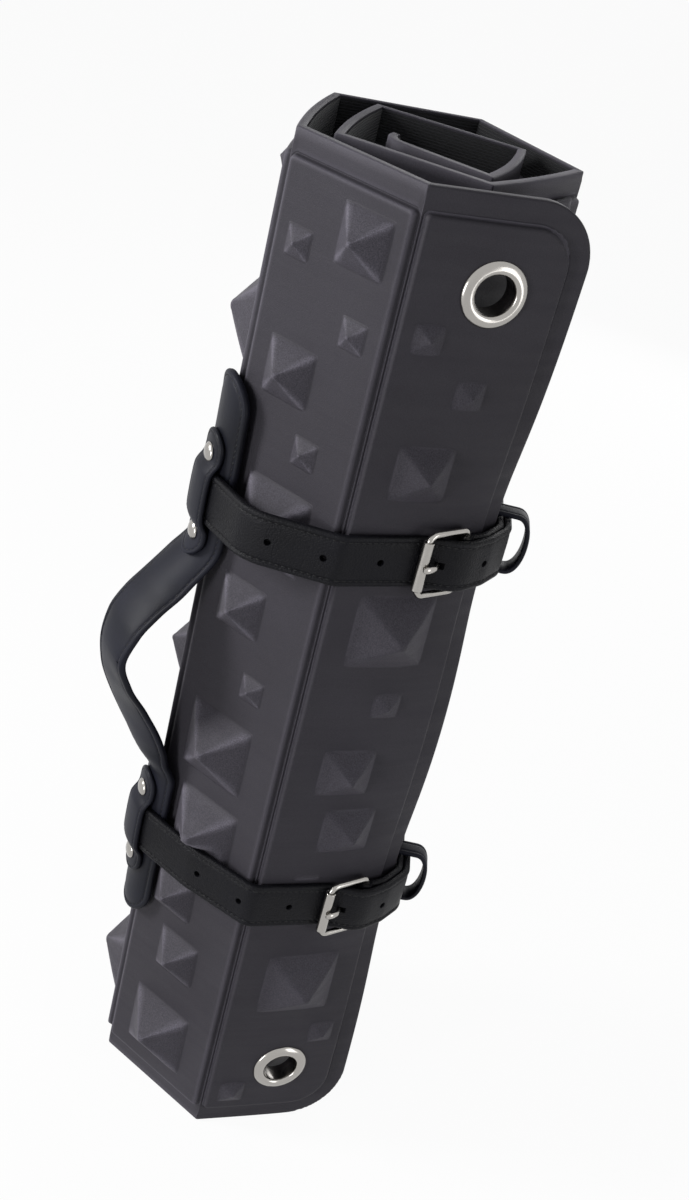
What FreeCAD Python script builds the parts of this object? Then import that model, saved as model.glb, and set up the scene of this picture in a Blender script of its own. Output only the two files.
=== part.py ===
import FreeCAD, Part
import math
import os

Vector = FreeCAD.Vector
os.makedirs("parts", exist_ok=True)
UP = Vector(0, 0, 1)
SQUARE = ((1, 1), (-1, 1), (-1, -1), (1, -1))

# Run of the shapes that cut right through a piece, and their overrun past its faces, in mm
cut_reach = 60.0
cut_overrun = 2.0

# Driving sizes of the mat
mat_width = 610.0
panel_pitch = 82.7
foam_thickness = 4.6
lining_thickness = 0.5
lining_setback = 1.0
lining_gap = 0.15
pad_raise = 3.26
pad_border = 12.3
pad_channel = 1.5
fold_1 = (41.3, -51.2)
lining_depth = foam_thickness + lining_gap + lining_thickness
pad_root = 1.0

# Studs: base width, height and width of the flat tip
STUDS = {"small": (15.0, 5.0, 2.0), "medium": (30.0, 12.5, 3.0), "large": (44.0, 17.0, 7.0)}
stud_root = 1.0
crumb_volume = 20.0

# Free panel: its border, corners and eyelets
free_border = 12.2
free_corner_radius = 34.0
pad_corner_radius = 22.0
free_heading = 236.9
squeeze_power = 3.0
bend_shortening = 0.9
window_start = -20.0
window_inset = 0.2
eyelet_from_fold = 44.9
eyelet_from_end = 47.0
eyelet_hole_radius = 10.4
eyelet_flange_radius = 17.2
eyelet_wall = 1.0
eyelet_rim_height = 2.2
eyelet_washer_thickness = 1.0
eyelet_washer_gap = 0.3
eyelet_washer_step = 1.5
eyelet_fit = 0.05
eyelet_seat = 0.2
eyelet_lip = 0.8

# How the mat is rolled: heading at the start of each panel, its turn and its stretch in the bend
ROLL = [
    (180.0, 0.0, 1.0),
    (125.5, -13.0, 1.04),
    (51.0, 0.0, 1.0),
    (-12.0, 0.0, 0.97),
    (-82.0, -12.0, 1.02),
    (-162.0, 0.0, 1.0),
    (122.0, -14.0, 1.0),
    (21.5, 0.0, 1.0),
    (-57.0, -21.0, 0.9),
    (-170.0, 0.0, 0.62),
]
bow_facets = 6
strapped_panels = 5
curl_radius = 13.0
curl_turn = 95.0

# Straps
strap_width = 29.5
strap_thickness = 4.0
strap_gap = 0.3
layer_gap = 0.3
stud_press_margin = 1.0
stud_press_depth = 16.0
corner_bend = 7.0
least_arc = 1e-4
tail_past_bend = 26.0
swell_place = 42.0
swell_radius = 25.0
punch_radius = 2.2
punch_pitch = 30.0
prong_hole_from_roller = 8.0
PUNCHES = (-3, -2, -1, 1)
punch_overrun = 0.5
# Height at the handle, climb per mm across the roll, lift over the studs on the front,
# and the depth and height at which the free edge is pressed in
PLACES = {
    "upper": {"z": 411.0, "slope": 0.045, "lift": 17.5, "press": 15.8, "press_z": 416.5},
    "lower": {"z": 188.5, "slope": -0.055, "lift": 6.5, "press": 13.2, "press_z": 181.0},
}
press_half = 19.0
press_spread = 70.0
free_levels = 20
level_margin = 1.0
FREE_STATIONS = [0.0, 0.4, 0.55, 0.68, 0.8, 0.9, 1.0]

# Buckles
bar_radius = 1.8
bar_fit = 0.08
ply = 2.0
bar_from_fold = 66.0
bar_spacing = 25.0
arm_gap = 1.6
roller_radius = 3.5
roller_end_gap = 0.7
frame_corner = 3.0
prong_width = 3.4
prong_thickness = 2.2
prong_overhang = 3.0
prong_side_gap = 0.75
prong_eye_wall = 1.4
slot_start = 2.0
slot_length = 16.9
slot_depth = 12.0

# Keepers
keeper_width = 12.0
keeper_thickness = 2.5
keeper_inner_gap = 0.6
keeper_standoff = 3.5
keeper_bulge = 3.5
keeper_place = 7.0

# Handle
band_width = 37.0
band_thickness = 4.0
band_axis_depth = 20.0
band_bend_radius = 24.0
band_split_gap = 0.4
band_steps = 8
band_trim_margin = 5.0
handle_block_depth = 70.0
upper_end_tip = 481.0
lower_end_tip = 122.0
strip_width = 22.0
strip_thickness = 3.0
strip_half_length = 37.0
strip_edge_gap = 0.8
strip_ramp = 2.3
rivet_spacing = 47.0
rivet_shank_radius = 2.2
rivet_shank_fit = 0.05
rivet_cap_radius = 5.6
rivet_cap_height = 2.6
rivet_shank_bite = 0.5
# Height, reach of the outer face from the fold, twist and sag across the width
BOW = [
    (362.0, 19.5, 13.0, 5.0),
    (353.0, 27.0, 17.0, 3.5),
    (342.0, 36.0, 14.0, 2.5),
    (328.0, 44.0, 8.0, 1.5),
    (312.0, 47.5, 2.0, 1.0),
    (295.0, 43.5, 9.0, 1.5),
    (276.0, 34.0, 19.0, 2.5),
    (259.0, 25.0, 22.0, 3.5),
    (246.0, 19.0, 20.0, 4.5),
    (238.0, 15.5, 13.0, 5.0),
]
# Rise of the band from the fold to the arch: share of the way down, share of the reach
RISE = [(0.0, 0.0), (0.45, 0.3), (1.0, 1.0)]
band_rise = 11.0


def unit(heading):
    angle = math.radians(heading)
    return Vector(math.cos(angle), math.sin(angle), 0)


def outward(heading):
    """The mat turns clockwise as it winds in, so its outer face is on the left."""
    return unit(heading + 90)


def mitre(before, after):
    """Vector that carries a corner to its mitred offset, per mm of offset."""
    a = outward(before)
    b = outward(after)
    return (a + b) * (1.0 / (1.0 + a.dot(b)))


def prism(points, z_low, z_high):
    loop = [Vector(p.x, p.y, z_low) for p in points]
    face = Part.Face(Part.makePolygon(loop + loop[:1]))
    return face.extrude(UP * (z_high - z_low))


class Panel:
    """One panel of the mat as a run of outer-face points, from its outer end inwards."""

    def __init__(self, start, headings, lengths):
        self.points = [start]
        self.headings = headings
        for heading, length in zip(headings, lengths):
            self.points.append(self.points[-1] + unit(heading) * length)
        self.lengths = lengths

    def at(self, along, offset=0.0):
        """Point at a distance along the panel, lifted off its outer face."""
        step = 0
        while step < len(self.lengths) - 1 and along > self.lengths[step]:
            along -= self.lengths[step]
            step += 1
        heading = self.headings[step]
        return self.points[step] + unit(heading) * along + outward(heading) * offset

    def heading_at(self, along):
        for heading, length in zip(self.headings, self.lengths):
            if along <= length:
                return heading
            along -= length
        return self.headings[-1]

    def shortened(self, head, tail):
        """The same panel with a length taken off each end."""
        total = sum(self.lengths)
        headings = []
        lengths = []
        run = 0.0
        for heading, length in zip(self.headings, self.lengths):
            low = max(run, head)
            high = min(run + length, total - tail)
            if high > low:
                start = start if headings else self.at(low)
                headings.append(heading)
                lengths.append(high - low)
            run += length
        return Panel(start, headings, lengths)

    def strip(self, low, high, before=None, after=None):
        """Outline between two offsets, mitred to the neighbours or cut square."""
        first = self.headings[0]
        last = self.headings[-1]
        before = first if before is None else before
        after = last if after is None else after
        bends = [mitre(before, first)]
        for a, b in zip(self.headings, self.headings[1:]):
            bends.append(mitre(a, b))
        bends.append(mitre(last, after))
        near = [p + m * low for p, m in zip(self.points, bends)]
        far = [p + m * high for p, m in zip(self.points, bends)]
        return near + far[::-1]


def lay_out_roll():
    """The rolled panels, from the fold of the free panel to the curled inner end."""
    panels = []
    start = Vector(fold_1[0], fold_1[1], 0)
    for heading, turn, stretch in ROLL:
        facets = bow_facets if turn else 1
        headings = [heading + turn * (i + 0.5) / facets for i in range(facets)]
        lengths = [panel_pitch * stretch / facets] * facets
        if (heading, turn, stretch) == ROLL[-1]:
            step = curl_turn / bow_facets
            for i in range(bow_facets):
                headings.append(heading + step * -(i + 0.5))
                lengths.append(curl_radius * math.radians(step))
        panels.append(Panel(start, headings, lengths))
        start = panels[-1].points[-1]
    return panels


rolled = lay_out_roll()
corner_1 = rolled[0].points[0]
corner_0 = rolled[0].points[-1]
free_along = unit(free_heading + 180)
free_out = outward(free_heading)
free_length = panel_pitch - pad_channel + free_border


def squeeze_at(z):
    """Depth that the two straps press the free edge in at a height."""
    depth = 0.0
    for place in PLACES.values():
        beyond = max(0.0, abs(z - place["press_z"]) - press_half)
        depth += place["press"] / (1 + (beyond / press_spread) ** 2)
    return depth


def free_point(along, z, offset=0.0):
    """Point on the free panel, whose edge the straps press in."""
    depth = squeeze_at(z)
    share = along / free_length
    drop = depth * share ** squeeze_power
    slope = squeeze_power * depth / free_length * share ** (squeeze_power - 1)
    shortened = along - bend_shortening * slope * drop / (2 * squeeze_power - 1)
    normal = (free_out + free_along * slope).normalize()
    base = corner_1 + free_along * shortened - free_out * drop
    return base + normal * offset + UP * z


def free_slab(low, high, start, end, z_low, z_high, mitred):
    """Slab of the bent free panel between two offsets, as a ruled solid."""
    levels = [mat_width * i / free_levels for i in range(1, free_levels)]
    for place in PLACES.values():
        levels = [z for z in levels if abs(z - place["press_z"]) > press_half]
        levels += [place["press_z"] - press_half, place["press_z"] + press_half]
    between = sorted(z for z in levels if z_low + level_margin < z < z_high - level_margin)
    levels = [z_low] + between + [z_high]
    alongs = [start + (end - start) * s for s in FREE_STATIONS]
    corner = mitre(free_heading, ROLL[0][0])
    loops = []
    for z in levels:
        near = [free_point(a, z, low) for a in alongs]
        far = [free_point(a, z, high) for a in alongs]
        if mitred:
            near[0] = corner_1 + corner * low + UP * z
            far[0] = corner_1 + corner * high + UP * z
        loops.append(Part.makePolygon(near + far[::-1] + near[:1]))
    return Part.makeLoft(loops, True, True)


def rounded_window(start, end, z_low, z_high, radius):
    """Block with the outline of the free panel, rounded at its outer corners only."""
    base = corner_1 - free_out * cut_reach

    def spot(along, z):
        return base + free_along * along + UP * z

    k = radius * (1 - math.sqrt(0.5))
    foot = spot(end - radius, z_low)
    head = spot(end - radius, z_high)
    edges = [
        Part.makeLine(spot(start, z_low), foot),
        Part.Arc(foot, spot(end - k, z_low + k), spot(end, z_low + radius)).toShape(),
        Part.makeLine(spot(end, z_low + radius), spot(end, z_high - radius)),
        Part.Arc(spot(end, z_high - radius), spot(end - k, z_high - k), head).toShape(),
        Part.makeLine(head, spot(start, z_high)),
        Part.makeLine(spot(start, z_high), spot(start, z_low)),
    ]
    return Part.Face(Part.Wire(edges)).extrude(free_out * (2 * cut_reach))


def stud(foot, along, normal, kind):
    """A four-sided stud standing on the pad face at foot."""
    base, height, tip = STUDS[kind]
    rings = []
    for half, lift in ((base / 2, -stud_root), (base / 2, 0.0), (tip / 2, height)):
        middle = foot + normal * lift
        corners = [middle + along * (half * a) + UP * (half * b) for a, b in SQUARE]
        rings.append(Part.makePolygon(corners + corners[:1]))
    root = Part.makeLoft(rings[:2], True, True)
    return root.fuse(Part.makeLoft(rings[1:], True, True))


# Studs of each panel: distance from the panel's outer fold, height, kind
FREE_STUDS = [
    (17.5, 537.2, "small"), (46.5, 509.8, "small"), (32.7, 465.4, "medium"), (39.6, 371.4, "large"),
    (48.4, 323.2, "small"), (35.4, 277.8, "medium"), (45.4, 236.0, "medium"), (29.4, 195.0, "small"),
    (41.7, 118.3, "large"), (65.8, 74.9, "small"), (16.8, 27.9, "small"),
]
FRONT_STUDS = [
    (25.8, 573.2, "medium"), (64.2, 558.4, "small"), (19.7, 527.7, "small"), (52.9, 494.3, "medium"),
    (32.2, 457.9, "small"), (42.0, 412.4, "large"), (50.6, 357.0, "medium"), (31.0, 312.9, "small"),
    (45.8, 265.5, "large"), (42.2, 208.0, "large"), (53.0, 152.8, "medium"), (40.9, 109.8, "medium"),
    (43.0, 47.7, "large"),
]
LEFT_STUDS = [
    (30.0, 586.0, "small"), (56.0, 549.0, "small"), (40.0, 500.0, "large"), (55.0, 350.0, "small"),
    (38.0, 291.0, "medium"), (52.0, 252.0, "small"), (50.0, 118.0, "small"), (40.0, 50.0, "large"),
    (28.0, 448.0, "small"),
]
BACK_STUDS = [
    (25.0, 560.0, "medium"), (58.0, 520.0, "small"), (40.0, 470.0, "large"), (30.0, 350.0, "medium"),
    (60.0, 315.0, "small"), (42.0, 262.0, "large"), (55.0, 140.0, "medium"), (28.0, 100.0, "small"),
    (45.0, 50.0, "large"),
]
EDGE_STUDS = [
    (30.0, 575.0, "small"), (55.0, 530.0, "medium"), (35.0, 480.0, "medium"), (45.0, 365.0, "large"),
    (25.0, 310.0, "small"), (50.0, 275.0, "medium"), (30.0, 235.0, "small"), (40.0, 125.0, "large"),
    (60.0, 75.0, "small"), (28.0, 40.0, "medium"),
]
RIGHT_STUDS = [
    (22.0, 590.0, "small"), (30.0, 500.0, "medium"), (22.0, 340.0, "medium"), (28.0, 290.0, "small"),
    (24.0, 115.0, "medium"), (30.0, 40.0, "small"),
]
INNER_STUDS = [
    (41.0, 540.0, "small"), (30.0, 420.0, "small"), (50.0, 300.0, "small"), (35.0, 160.0, "small"),
]
ROLL_STUDS = [FRONT_STUDS, LEFT_STUDS, BACK_STUDS, EDGE_STUDS, RIGHT_STUDS,
              INNER_STUDS, INNER_STUDS, INNER_STUDS, INNER_STUDS, []]


def belt(pulleys):
    """Headings of the straight runs between round guides that lie on the left of the path."""
    runs = []
    for (a, ra), (b, rb) in zip(pulleys, pulleys[1:]):
        reach = b - a
        alpha = math.atan2(reach.y, reach.x)
        runs.append(alpha - math.asin((rb - ra) / math.hypot(reach.x, reach.y)))
    return runs


def belt_edges(pulleys, runs, offset):
    """Arcs and lines of the path at an offset from its inner face."""
    def touch(index, angle):
        centre, radius = pulleys[index]
        left = Vector(-math.sin(angle), math.cos(angle), 0)
        return centre - left * (radius + offset)

    edges = []
    last = touch(0, runs[0])
    for i in range(1, len(pulleys)):
        arrive = touch(i, runs[i - 1])
        edges.append(Part.makeLine(last, arrive))
        last = arrive
        if i < len(runs):
            turn = (runs[i] - runs[i - 1] + math.pi) % (2 * math.pi) - math.pi
            if abs(turn) > least_arc and abs(pulleys[i][1] + offset) > least_arc:
                middle = touch(i, runs[i - 1] + turn / 2)
                leave = touch(i, runs[i])
                edges.append(Part.Arc(arrive, middle, leave).toShape())
                last = leave
    return edges


def belt_solid(pulleys, low, high, z_low, z_high):
    runs = belt(pulleys)
    near = belt_edges(pulleys, runs, low)
    far = belt_edges(pulleys, runs, high)
    start = Part.makeLine(near[0].valueAt(near[0].FirstParameter), far[0].valueAt(far[0].FirstParameter))
    end = Part.makeLine(near[-1].valueAt(near[-1].LastParameter), far[-1].valueAt(far[-1].LastParameter))
    wire = Part.Wire(Part.__sortEdges__(near + [end] + far + [start]))
    face = Part.Face(wire)
    face.translate(UP * z_low)
    return face.extrude(UP * (z_high - z_low))


def corner_guide(before, after, corner, radius):
    """Round guide whose arc runs along both pads at a fold."""
    lift = pad_raise + strap_gap
    return (corner + mitre(before, after) * (lift - radius), radius)


handle_out = (mitre(ROLL[0][0], rolled[1].headings[0])).normalize()
handle_side = Vector(-handle_out.y, handle_out.x, 0)
handle_axis = corner_0 - handle_out * band_axis_depth
band_outer_radius = band_bend_radius + band_thickness
ring_radius = bar_radius + bar_fit + ply
bar_height = pad_raise + strap_gap + ring_radius
roller_height = pad_raise + strap_gap + strap_thickness + layer_gap + roller_radius
pad_end = panel_pitch - pad_channel
edge_grip = 5.0


def flat(point):
    return Vector(point.x, point.y, 0)


class Carrier:
    """Where one strap and its buckle lie round the roll."""

    def __init__(self, place):
        z = place["z"]
        self.place = place
        self.bar = flat(free_point(bar_from_fold, z, bar_height))
        toward = flat(free_point(bar_from_fold - bar_spacing, z, roller_height)) - self.bar
        self.along = toward.normalize()
        self.out = Vector(-self.along.y, self.along.x, 0)
        self.roller = self.bar + self.along * bar_spacing
        edge = flat(free_point(free_length - edge_grip, z, -lining_depth))
        edge_radius = math.hypot(edge_grip, lining_depth) + strap_gap
        pad = flat(free_point(pad_end - edge_grip, z, pad_raise - edge_grip))
        pad_radius = edge_grip * math.sqrt(2) + strap_gap
        lap = strap_thickness + layer_gap
        left, hind, back, right = rolled[1:5]
        swell_height = pad_raise + place["lift"] + strap_gap
        turn_back = corner_guide(back.headings[-1], right.headings[0], right.points[0], corner_bend)
        self.round = [
            (self.bar - self.out * (strap_thickness / 2), 0.0),
            (pad, pad_radius),
            (edge, edge_radius),
            turn_back,
            corner_guide(hind.headings[0], back.headings[0], back.points[0], corner_bend),
            corner_guide(left.headings[-1], hind.headings[0], hind.points[0], corner_bend),
            (handle_axis, band_outer_radius + strap_gap),
            (rolled[0].at(swell_place, swell_height - swell_radius), swell_radius),
            corner_guide(free_heading, ROLL[0][0], corner_1, corner_bend),
            (self.roller, -(roller_radius + layer_gap + strap_thickness)),
        ]
        over = [(self.bar, ring_radius + layer_gap), (pad, pad_radius + lap), (edge, edge_radius + lap)]
        heading = belt([over[-1], (turn_back[0], turn_back[1] + lap)])[0]
        self.way = Vector(math.cos(heading), math.sin(heading), 0)
        self.side = Vector(self.way.y, -self.way.x, 0)
        tip = edge + self.side * (edge_radius + lap) + self.way * tail_past_bend
        self.guides = self.round + over + [(tip, 0.0)]
        self.keeper = edge + self.side * edge_radius + self.way * keeper_place

    def height(self, point):
        return self.place["z"] + self.place["slope"] * (point.x - corner_0.x)

    def slanted(self, shape):
        """Shear a shape so that the strap climbs across the roll."""
        skew = FreeCAD.Matrix()
        skew.A31 = self.place["slope"]
        skew.A34 = self.place["z"] - self.place["slope"] * corner_0.x
        return shape.transformGeometry(skew)


def block(centre, along, across, size_along, size_across, size_up):
    """Box with its middle at centre."""
    corners = []
    for a, b in SQUARE:
        corners.append(centre + along * (a * size_along / 2) + across * (b * size_across / 2))
    return prism(corners, centre.z - size_up / 2, centre.z + size_up / 2)


def rod(centre, axis, radius, length):
    return Part.makeCylinder(radius, length, centre - axis * (length / 2), axis)


def tube(centre, axis, outer, inner, length):
    return rod(centre, axis, outer, length).cut(rod(centre, axis, inner, length + cut_overrun))


def walk(edges, distance):
    """Point and heading at a distance along a run of edges."""
    for edge in edges:
        if distance <= edge.Length:
            spot = edge.getParameterByLength(distance)
            return edge.valueAt(spot), edge.tangentAt(spot)
        distance -= edge.Length
    return None


def make_strap(carrier):
    """Two-ply strap from the ring round the heel bar, about the roll and out past the keeper."""
    half = strap_width / 2
    guides = carrier.guides
    strap = belt_solid(guides, 0.0, strap_thickness, -half, half)
    strap = strap.fuse(rod(carrier.bar, UP, ring_radius, strap_width))
    strap = strap.cut(rod(carrier.bar, UP, bar_radius + bar_fit, strap_width + cut_overrun))
    eye_room = prong_width + 2 * prong_side_gap
    eye_length = 2 * (ring_radius + prong_side_gap)
    strap = strap.cut(block(carrier.bar, carrier.along, carrier.out, eye_length, 2 * ring_radius, eye_room))
    slot = carrier.bar + carrier.along * (slot_start + slot_length / 2)
    strap = strap.cut(block(slot, carrier.along, carrier.out, slot_length, slot_depth, eye_room))
    edges = belt_edges(guides, belt(guides), strap_thickness / 2)
    to_roller = belt_edges(carrier.round, belt(carrier.round), strap_thickness / 2)
    prong_place = sum(edge.Length for edge in to_roller) + prong_hole_from_roller
    for count in PUNCHES:
        spot, heading = walk(edges, prong_place + count * punch_pitch)
        across = Vector(heading.y, -heading.x, 0)
        strap = strap.cut(rod(spot, across, punch_radius, strap_thickness + punch_overrun))
    return carrier.slanted(strap)


def make_keeper(carrier):
    """Leather loop round both layers of the strap, arched on its outer side."""
    root = carrier.keeper
    way = carrier.way
    side = carrier.side
    z = carrier.height(root + way * (keeper_width / 2))
    rise = strap_width / 2 + keeper_inner_gap
    inner = -keeper_inner_gap
    outer = 2 * strap_thickness + layer_gap + keeper_standoff

    def loop(grow):
        near = inner - grow
        far = outer + grow
        tall = rise + grow
        spots = [root + side * near + UP * (z - tall), root + side * far + UP * (z - tall),
                 root + side * (far + keeper_bulge) + UP * z,
                 root + side * far + UP * (z + tall), root + side * near + UP * (z + tall)]
        edges = [Part.makeLine(spots[0], spots[1]), Part.Arc(spots[1], spots[2], spots[3]).toShape(),
                 Part.makeLine(spots[3], spots[4]), Part.makeLine(spots[4], spots[0])]
        return Part.Face(Part.Wire(edges)).extrude(way * keeper_width)

    return loop(keeper_thickness).cut(loop(0.0))


def make_buckle(carrier):
    """Wire frame, roller and prong, drawn about the heel bar and then put in place."""
    along = Vector(1, 0, 0)
    heel = Vector()
    front = along * bar_spacing
    reach = strap_width / 2 + arm_gap + bar_radius
    frame = rod(heel, UP, bar_radius, 2 * (reach - frame_corner))
    frame = frame.fuse(rod(front, UP, bar_radius, 2 * (reach - frame_corner)))
    for side in (-1, 1):
        arm = front * 0.5 + UP * (side * reach)
        frame = frame.fuse(rod(arm, along, bar_radius, bar_spacing - 2 * frame_corner))
        for end, sense in ((heel, 1), (front, -1)):
            pivot = end + along * (sense * frame_corner) + UP * (side * (reach - frame_corner))
            wire = Part.Wire(Part.makeCircle(bar_radius, pivot + UP * (side * frame_corner), along))
            frame = frame.fuse(Part.Face(wire).revolve(pivot, Vector(0, -side * sense, 0), 90))
    roller_length = 2 * (reach - frame_corner) - 2 * roller_end_gap
    roller = tube(front, UP, roller_radius, bar_radius + bar_fit, roller_length)
    eye_radius = bar_radius + bar_fit + prong_eye_wall
    eye = rod(heel, UP, eye_radius, prong_width)
    rest = roller_radius + layer_gap
    tip = bar_spacing + prong_overhang
    profile = [
        (0.0, -prong_thickness / 2), (bar_spacing - roller_radius, rest - layer_gap),
        (bar_spacing, rest), (tip, rest), (tip, rest + prong_thickness / 2),
        (bar_spacing, rest + prong_thickness), (0.0, eye_radius),
    ]
    shank = prism([Vector(a, b, 0) for a, b in profile], -prong_width / 2, prong_width / 2)
    prong = eye.fuse(shank).cut(rod(heel, UP, bar_radius + bar_fit, prong_width + cut_overrun))
    turn = FreeCAD.Matrix()
    turn.A11, turn.A21 = carrier.along.x, carrier.along.y
    turn.A12, turn.A22 = carrier.out.x, carrier.out.y
    turn.A14, turn.A24, turn.A34 = carrier.bar + UP * carrier.height(carrier.bar)
    pieces = [frame.removeSplitter(), roller, prong.removeSplitter()]
    for piece in pieces:
        piece.Placement = FreeCAD.Placement(turn)
    return pieces


def band_section(z, reach, twist, sag):
    """Cross-section of the handle band: an arc of even thickness across its width."""
    turn = math.radians(twist)
    outer_way = handle_out * math.cos(turn) + handle_side * math.sin(turn)
    side_way = handle_side * math.cos(turn) - handle_out * math.sin(turn)
    half = band_width / 2
    centre = corner_0 + handle_out * reach + UP * z
    radius = (half ** 2 + sag ** 2) / (2 * sag)
    swing = math.asin(half / radius)
    near = []
    far = []
    for i in range(band_steps + 1):
        angle = swing * (2.0 * i / band_steps - 1.0)
        ray = outer_way * math.cos(angle) + side_way * math.sin(angle)
        pivot = centre - outer_way * radius
        far.append(pivot + ray * radius)
        near.append(pivot + ray * (radius - band_thickness))
    return Part.makePolygon(near + far[::-1] + near[:1])


def band_solid(stations):
    return Part.makeLoft([band_section(*s) for s in stations], True, True)


def round_ended(z_low, z_high, width, round_low, round_high):
    """Block facing out of the handle corner with half-round ends."""
    half = width / 2
    base = corner_0 - handle_out * (handle_block_depth / 2)

    def spot(a, z):
        return base + handle_side * a + UP * z

    low = z_low + (half if round_low else 0.0)
    high = z_high - (half if round_high else 0.0)
    edges = [
        Part.makeLine(spot(half, low), spot(half, high)),
        Part.makeLine(spot(-half, high), spot(-half, low)),
    ]
    if round_high:
        edges.append(Part.Arc(spot(half, high), spot(0, z_high), spot(-half, high)).toShape())
    else:
        edges.append(Part.makeLine(spot(half, high), spot(-half, high)))
    if round_low:
        edges.append(Part.Arc(spot(-half, low), spot(0, z_low), spot(half, low)).toShape())
    else:
        edges.append(Part.makeLine(spot(-half, low), spot(half, low)))
    return Part.Face(Part.Wire(Part.__sortEdges__(edges))).extrude(handle_out * handle_block_depth)


flat_reach = band_outer_radius - band_axis_depth
flat_sag = band_outer_radius - math.sqrt(band_outer_radius ** 2 - (band_width / 2) ** 2)


def make_handle():
    """The arched part of the band and its two ends that lie against the fold."""
    bow = band_solid(BOW)
    ends = []
    for sense, station, tip in ((1, BOW[0], upper_end_tip), (-1, BOW[-1], lower_end_tip)):
        join, reach, twist, sag = station
        stations = [(tip, flat_reach, 0.0, flat_sag)]
        for down, out in RISE:
            z = join + sense * (band_split_gap + (band_rise - band_split_gap) * (1 - down))
            stations.append((z, flat_reach + (reach - flat_reach) * out, twist * out,
                             flat_sag + (sag - flat_sag) * out))
        ends.append(band_solid(stations if sense > 0 else stations[::-1]))
    top, low = BOW[0][0], BOW[-1][0]
    upper, lower = ends
    upper = upper.common(round_ended(top - band_trim_margin, upper_end_tip, band_width, False, True))
    lower = lower.common(round_ended(lower_end_tip, low + band_trim_margin, band_width, True, False))
    return bow, upper, lower


def rivet_heights(place):
    return (place["z"] - rivet_spacing / 2, place["z"] + rivet_spacing / 2)


def rivet_holes(place):
    holes = None
    for z in rivet_heights(place):
        hole = rod(corner_0 + UP * z, handle_out, rivet_shank_radius + rivet_shank_fit, cut_reach)
        holes = hole if holes is None else holes.fuse(hole)
    return holes


def make_strip(place):
    """Short strip that bridges over the strap and is riveted to the band above and below it."""
    z = place["z"]
    low = flat_reach + strap_gap
    high = flat_reach + strap_thickness + 2 * strap_gap + layer_gap
    crest = strap_width / 2 + strip_edge_gap
    ramp_foot = crest + strip_ramp
    ramp = [(-strip_half_length, low), (-ramp_foot, low), (-crest, high),
            (crest, high), (ramp_foot, low), (strip_half_length, low)]
    inner = [corner_0 + handle_out * r + UP * (z + dz) for dz, r in ramp]
    outer = [corner_0 + handle_out * (r + strip_thickness) + UP * (z + dz) for dz, r in ramp]
    loop = inner + outer[::-1]
    face = Part.Face(Part.makePolygon(loop + loop[:1]))
    strip = face.extrude(handle_side * strip_width)
    strip.translate(handle_side * (-strip_width / 2))
    ends = round_ended(z - strip_half_length, z + strip_half_length, strip_width, True, True)
    return strip.common(ends).cut(rivet_holes(place))


def make_rivets(place):
    """Two domed rivets through the strip and the band."""
    seat = flat_reach + strap_gap + strip_thickness
    root = flat_reach - band_thickness
    rivets = []
    for z in rivet_heights(place):
        base = corner_0 + UP * z
        shank_length = seat - root + rivet_shank_bite
        shank = Part.makeCylinder(rivet_shank_radius, shank_length, base + handle_out * root, handle_out)
        dome_radius = (rivet_cap_radius ** 2 + rivet_cap_height ** 2) / (2 * rivet_cap_height)
        ball = Part.makeSphere(dome_radius, base + handle_out * (seat + rivet_cap_height - dome_radius))
        keep_height = rivet_cap_height + cut_overrun
        keep = Part.makeCylinder(rivet_cap_radius, keep_height, base + handle_out * seat, handle_out)
        rivets.append(shank.fuse(ball.common(keep)).removeSplitter())
    return Part.makeCompound(rivets)


def eyelet_frame(z):
    """Foot on the outer face of the bent free panel, with the ways along it and out of it."""
    foot = free_point(eyelet_from_fold, z)
    ahead = flat(free_point(eyelet_from_fold + 1.0, z) - foot).normalize()
    return foot, ahead, Vector(ahead.y, -ahead.x, 0)


def make_eyelet(z):
    """Rolled face ring with its barrel, and the washer behind."""
    foot, ahead, out = eyelet_frame(z)
    back = -lining_depth - eyelet_washer_gap
    barrel_outer = eyelet_hole_radius + eyelet_wall
    floor = pad_raise + eyelet_seat
    crest = floor + eyelet_rim_height
    middle = (eyelet_hole_radius + eyelet_flange_radius) / 2

    def spot(radius, height):
        return foot + ahead * radius + out * height

    rear = back - eyelet_washer_thickness - eyelet_wall
    lip = spot(eyelet_hole_radius, floor + eyelet_lip)
    edges = [
        Part.makeLine(spot(eyelet_hole_radius, rear), lip),
        Part.Arc(lip, spot(middle, crest), spot(eyelet_flange_radius, floor)).toShape(),
        Part.makeLine(spot(eyelet_flange_radius, floor), spot(barrel_outer, floor)),
        Part.makeLine(spot(barrel_outer, floor), spot(barrel_outer, rear)),
        Part.makeLine(spot(barrel_outer, rear), spot(eyelet_hole_radius, rear)),
    ]
    ring = Part.Face(Part.Wire(edges)).revolve(foot, out, 360)
    centre = foot + out * (back - eyelet_washer_thickness / 2)
    washer_radius = eyelet_flange_radius - eyelet_washer_step
    washer = tube(centre, out, washer_radius, barrel_outer + eyelet_fit, eyelet_washer_thickness)
    return ring, washer


def eyelet_holes():
    holes = []
    for z in (eyelet_from_end, mat_width - eyelet_from_end):
        foot, ahead, out = eyelet_frame(z)
        holes.append(rod(foot, out, eyelet_hole_radius + eyelet_wall + eyelet_fit, cut_reach))
    return holes


def fused(first, others):
    return first.fuse(others).removeSplitter() if others else first


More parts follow.
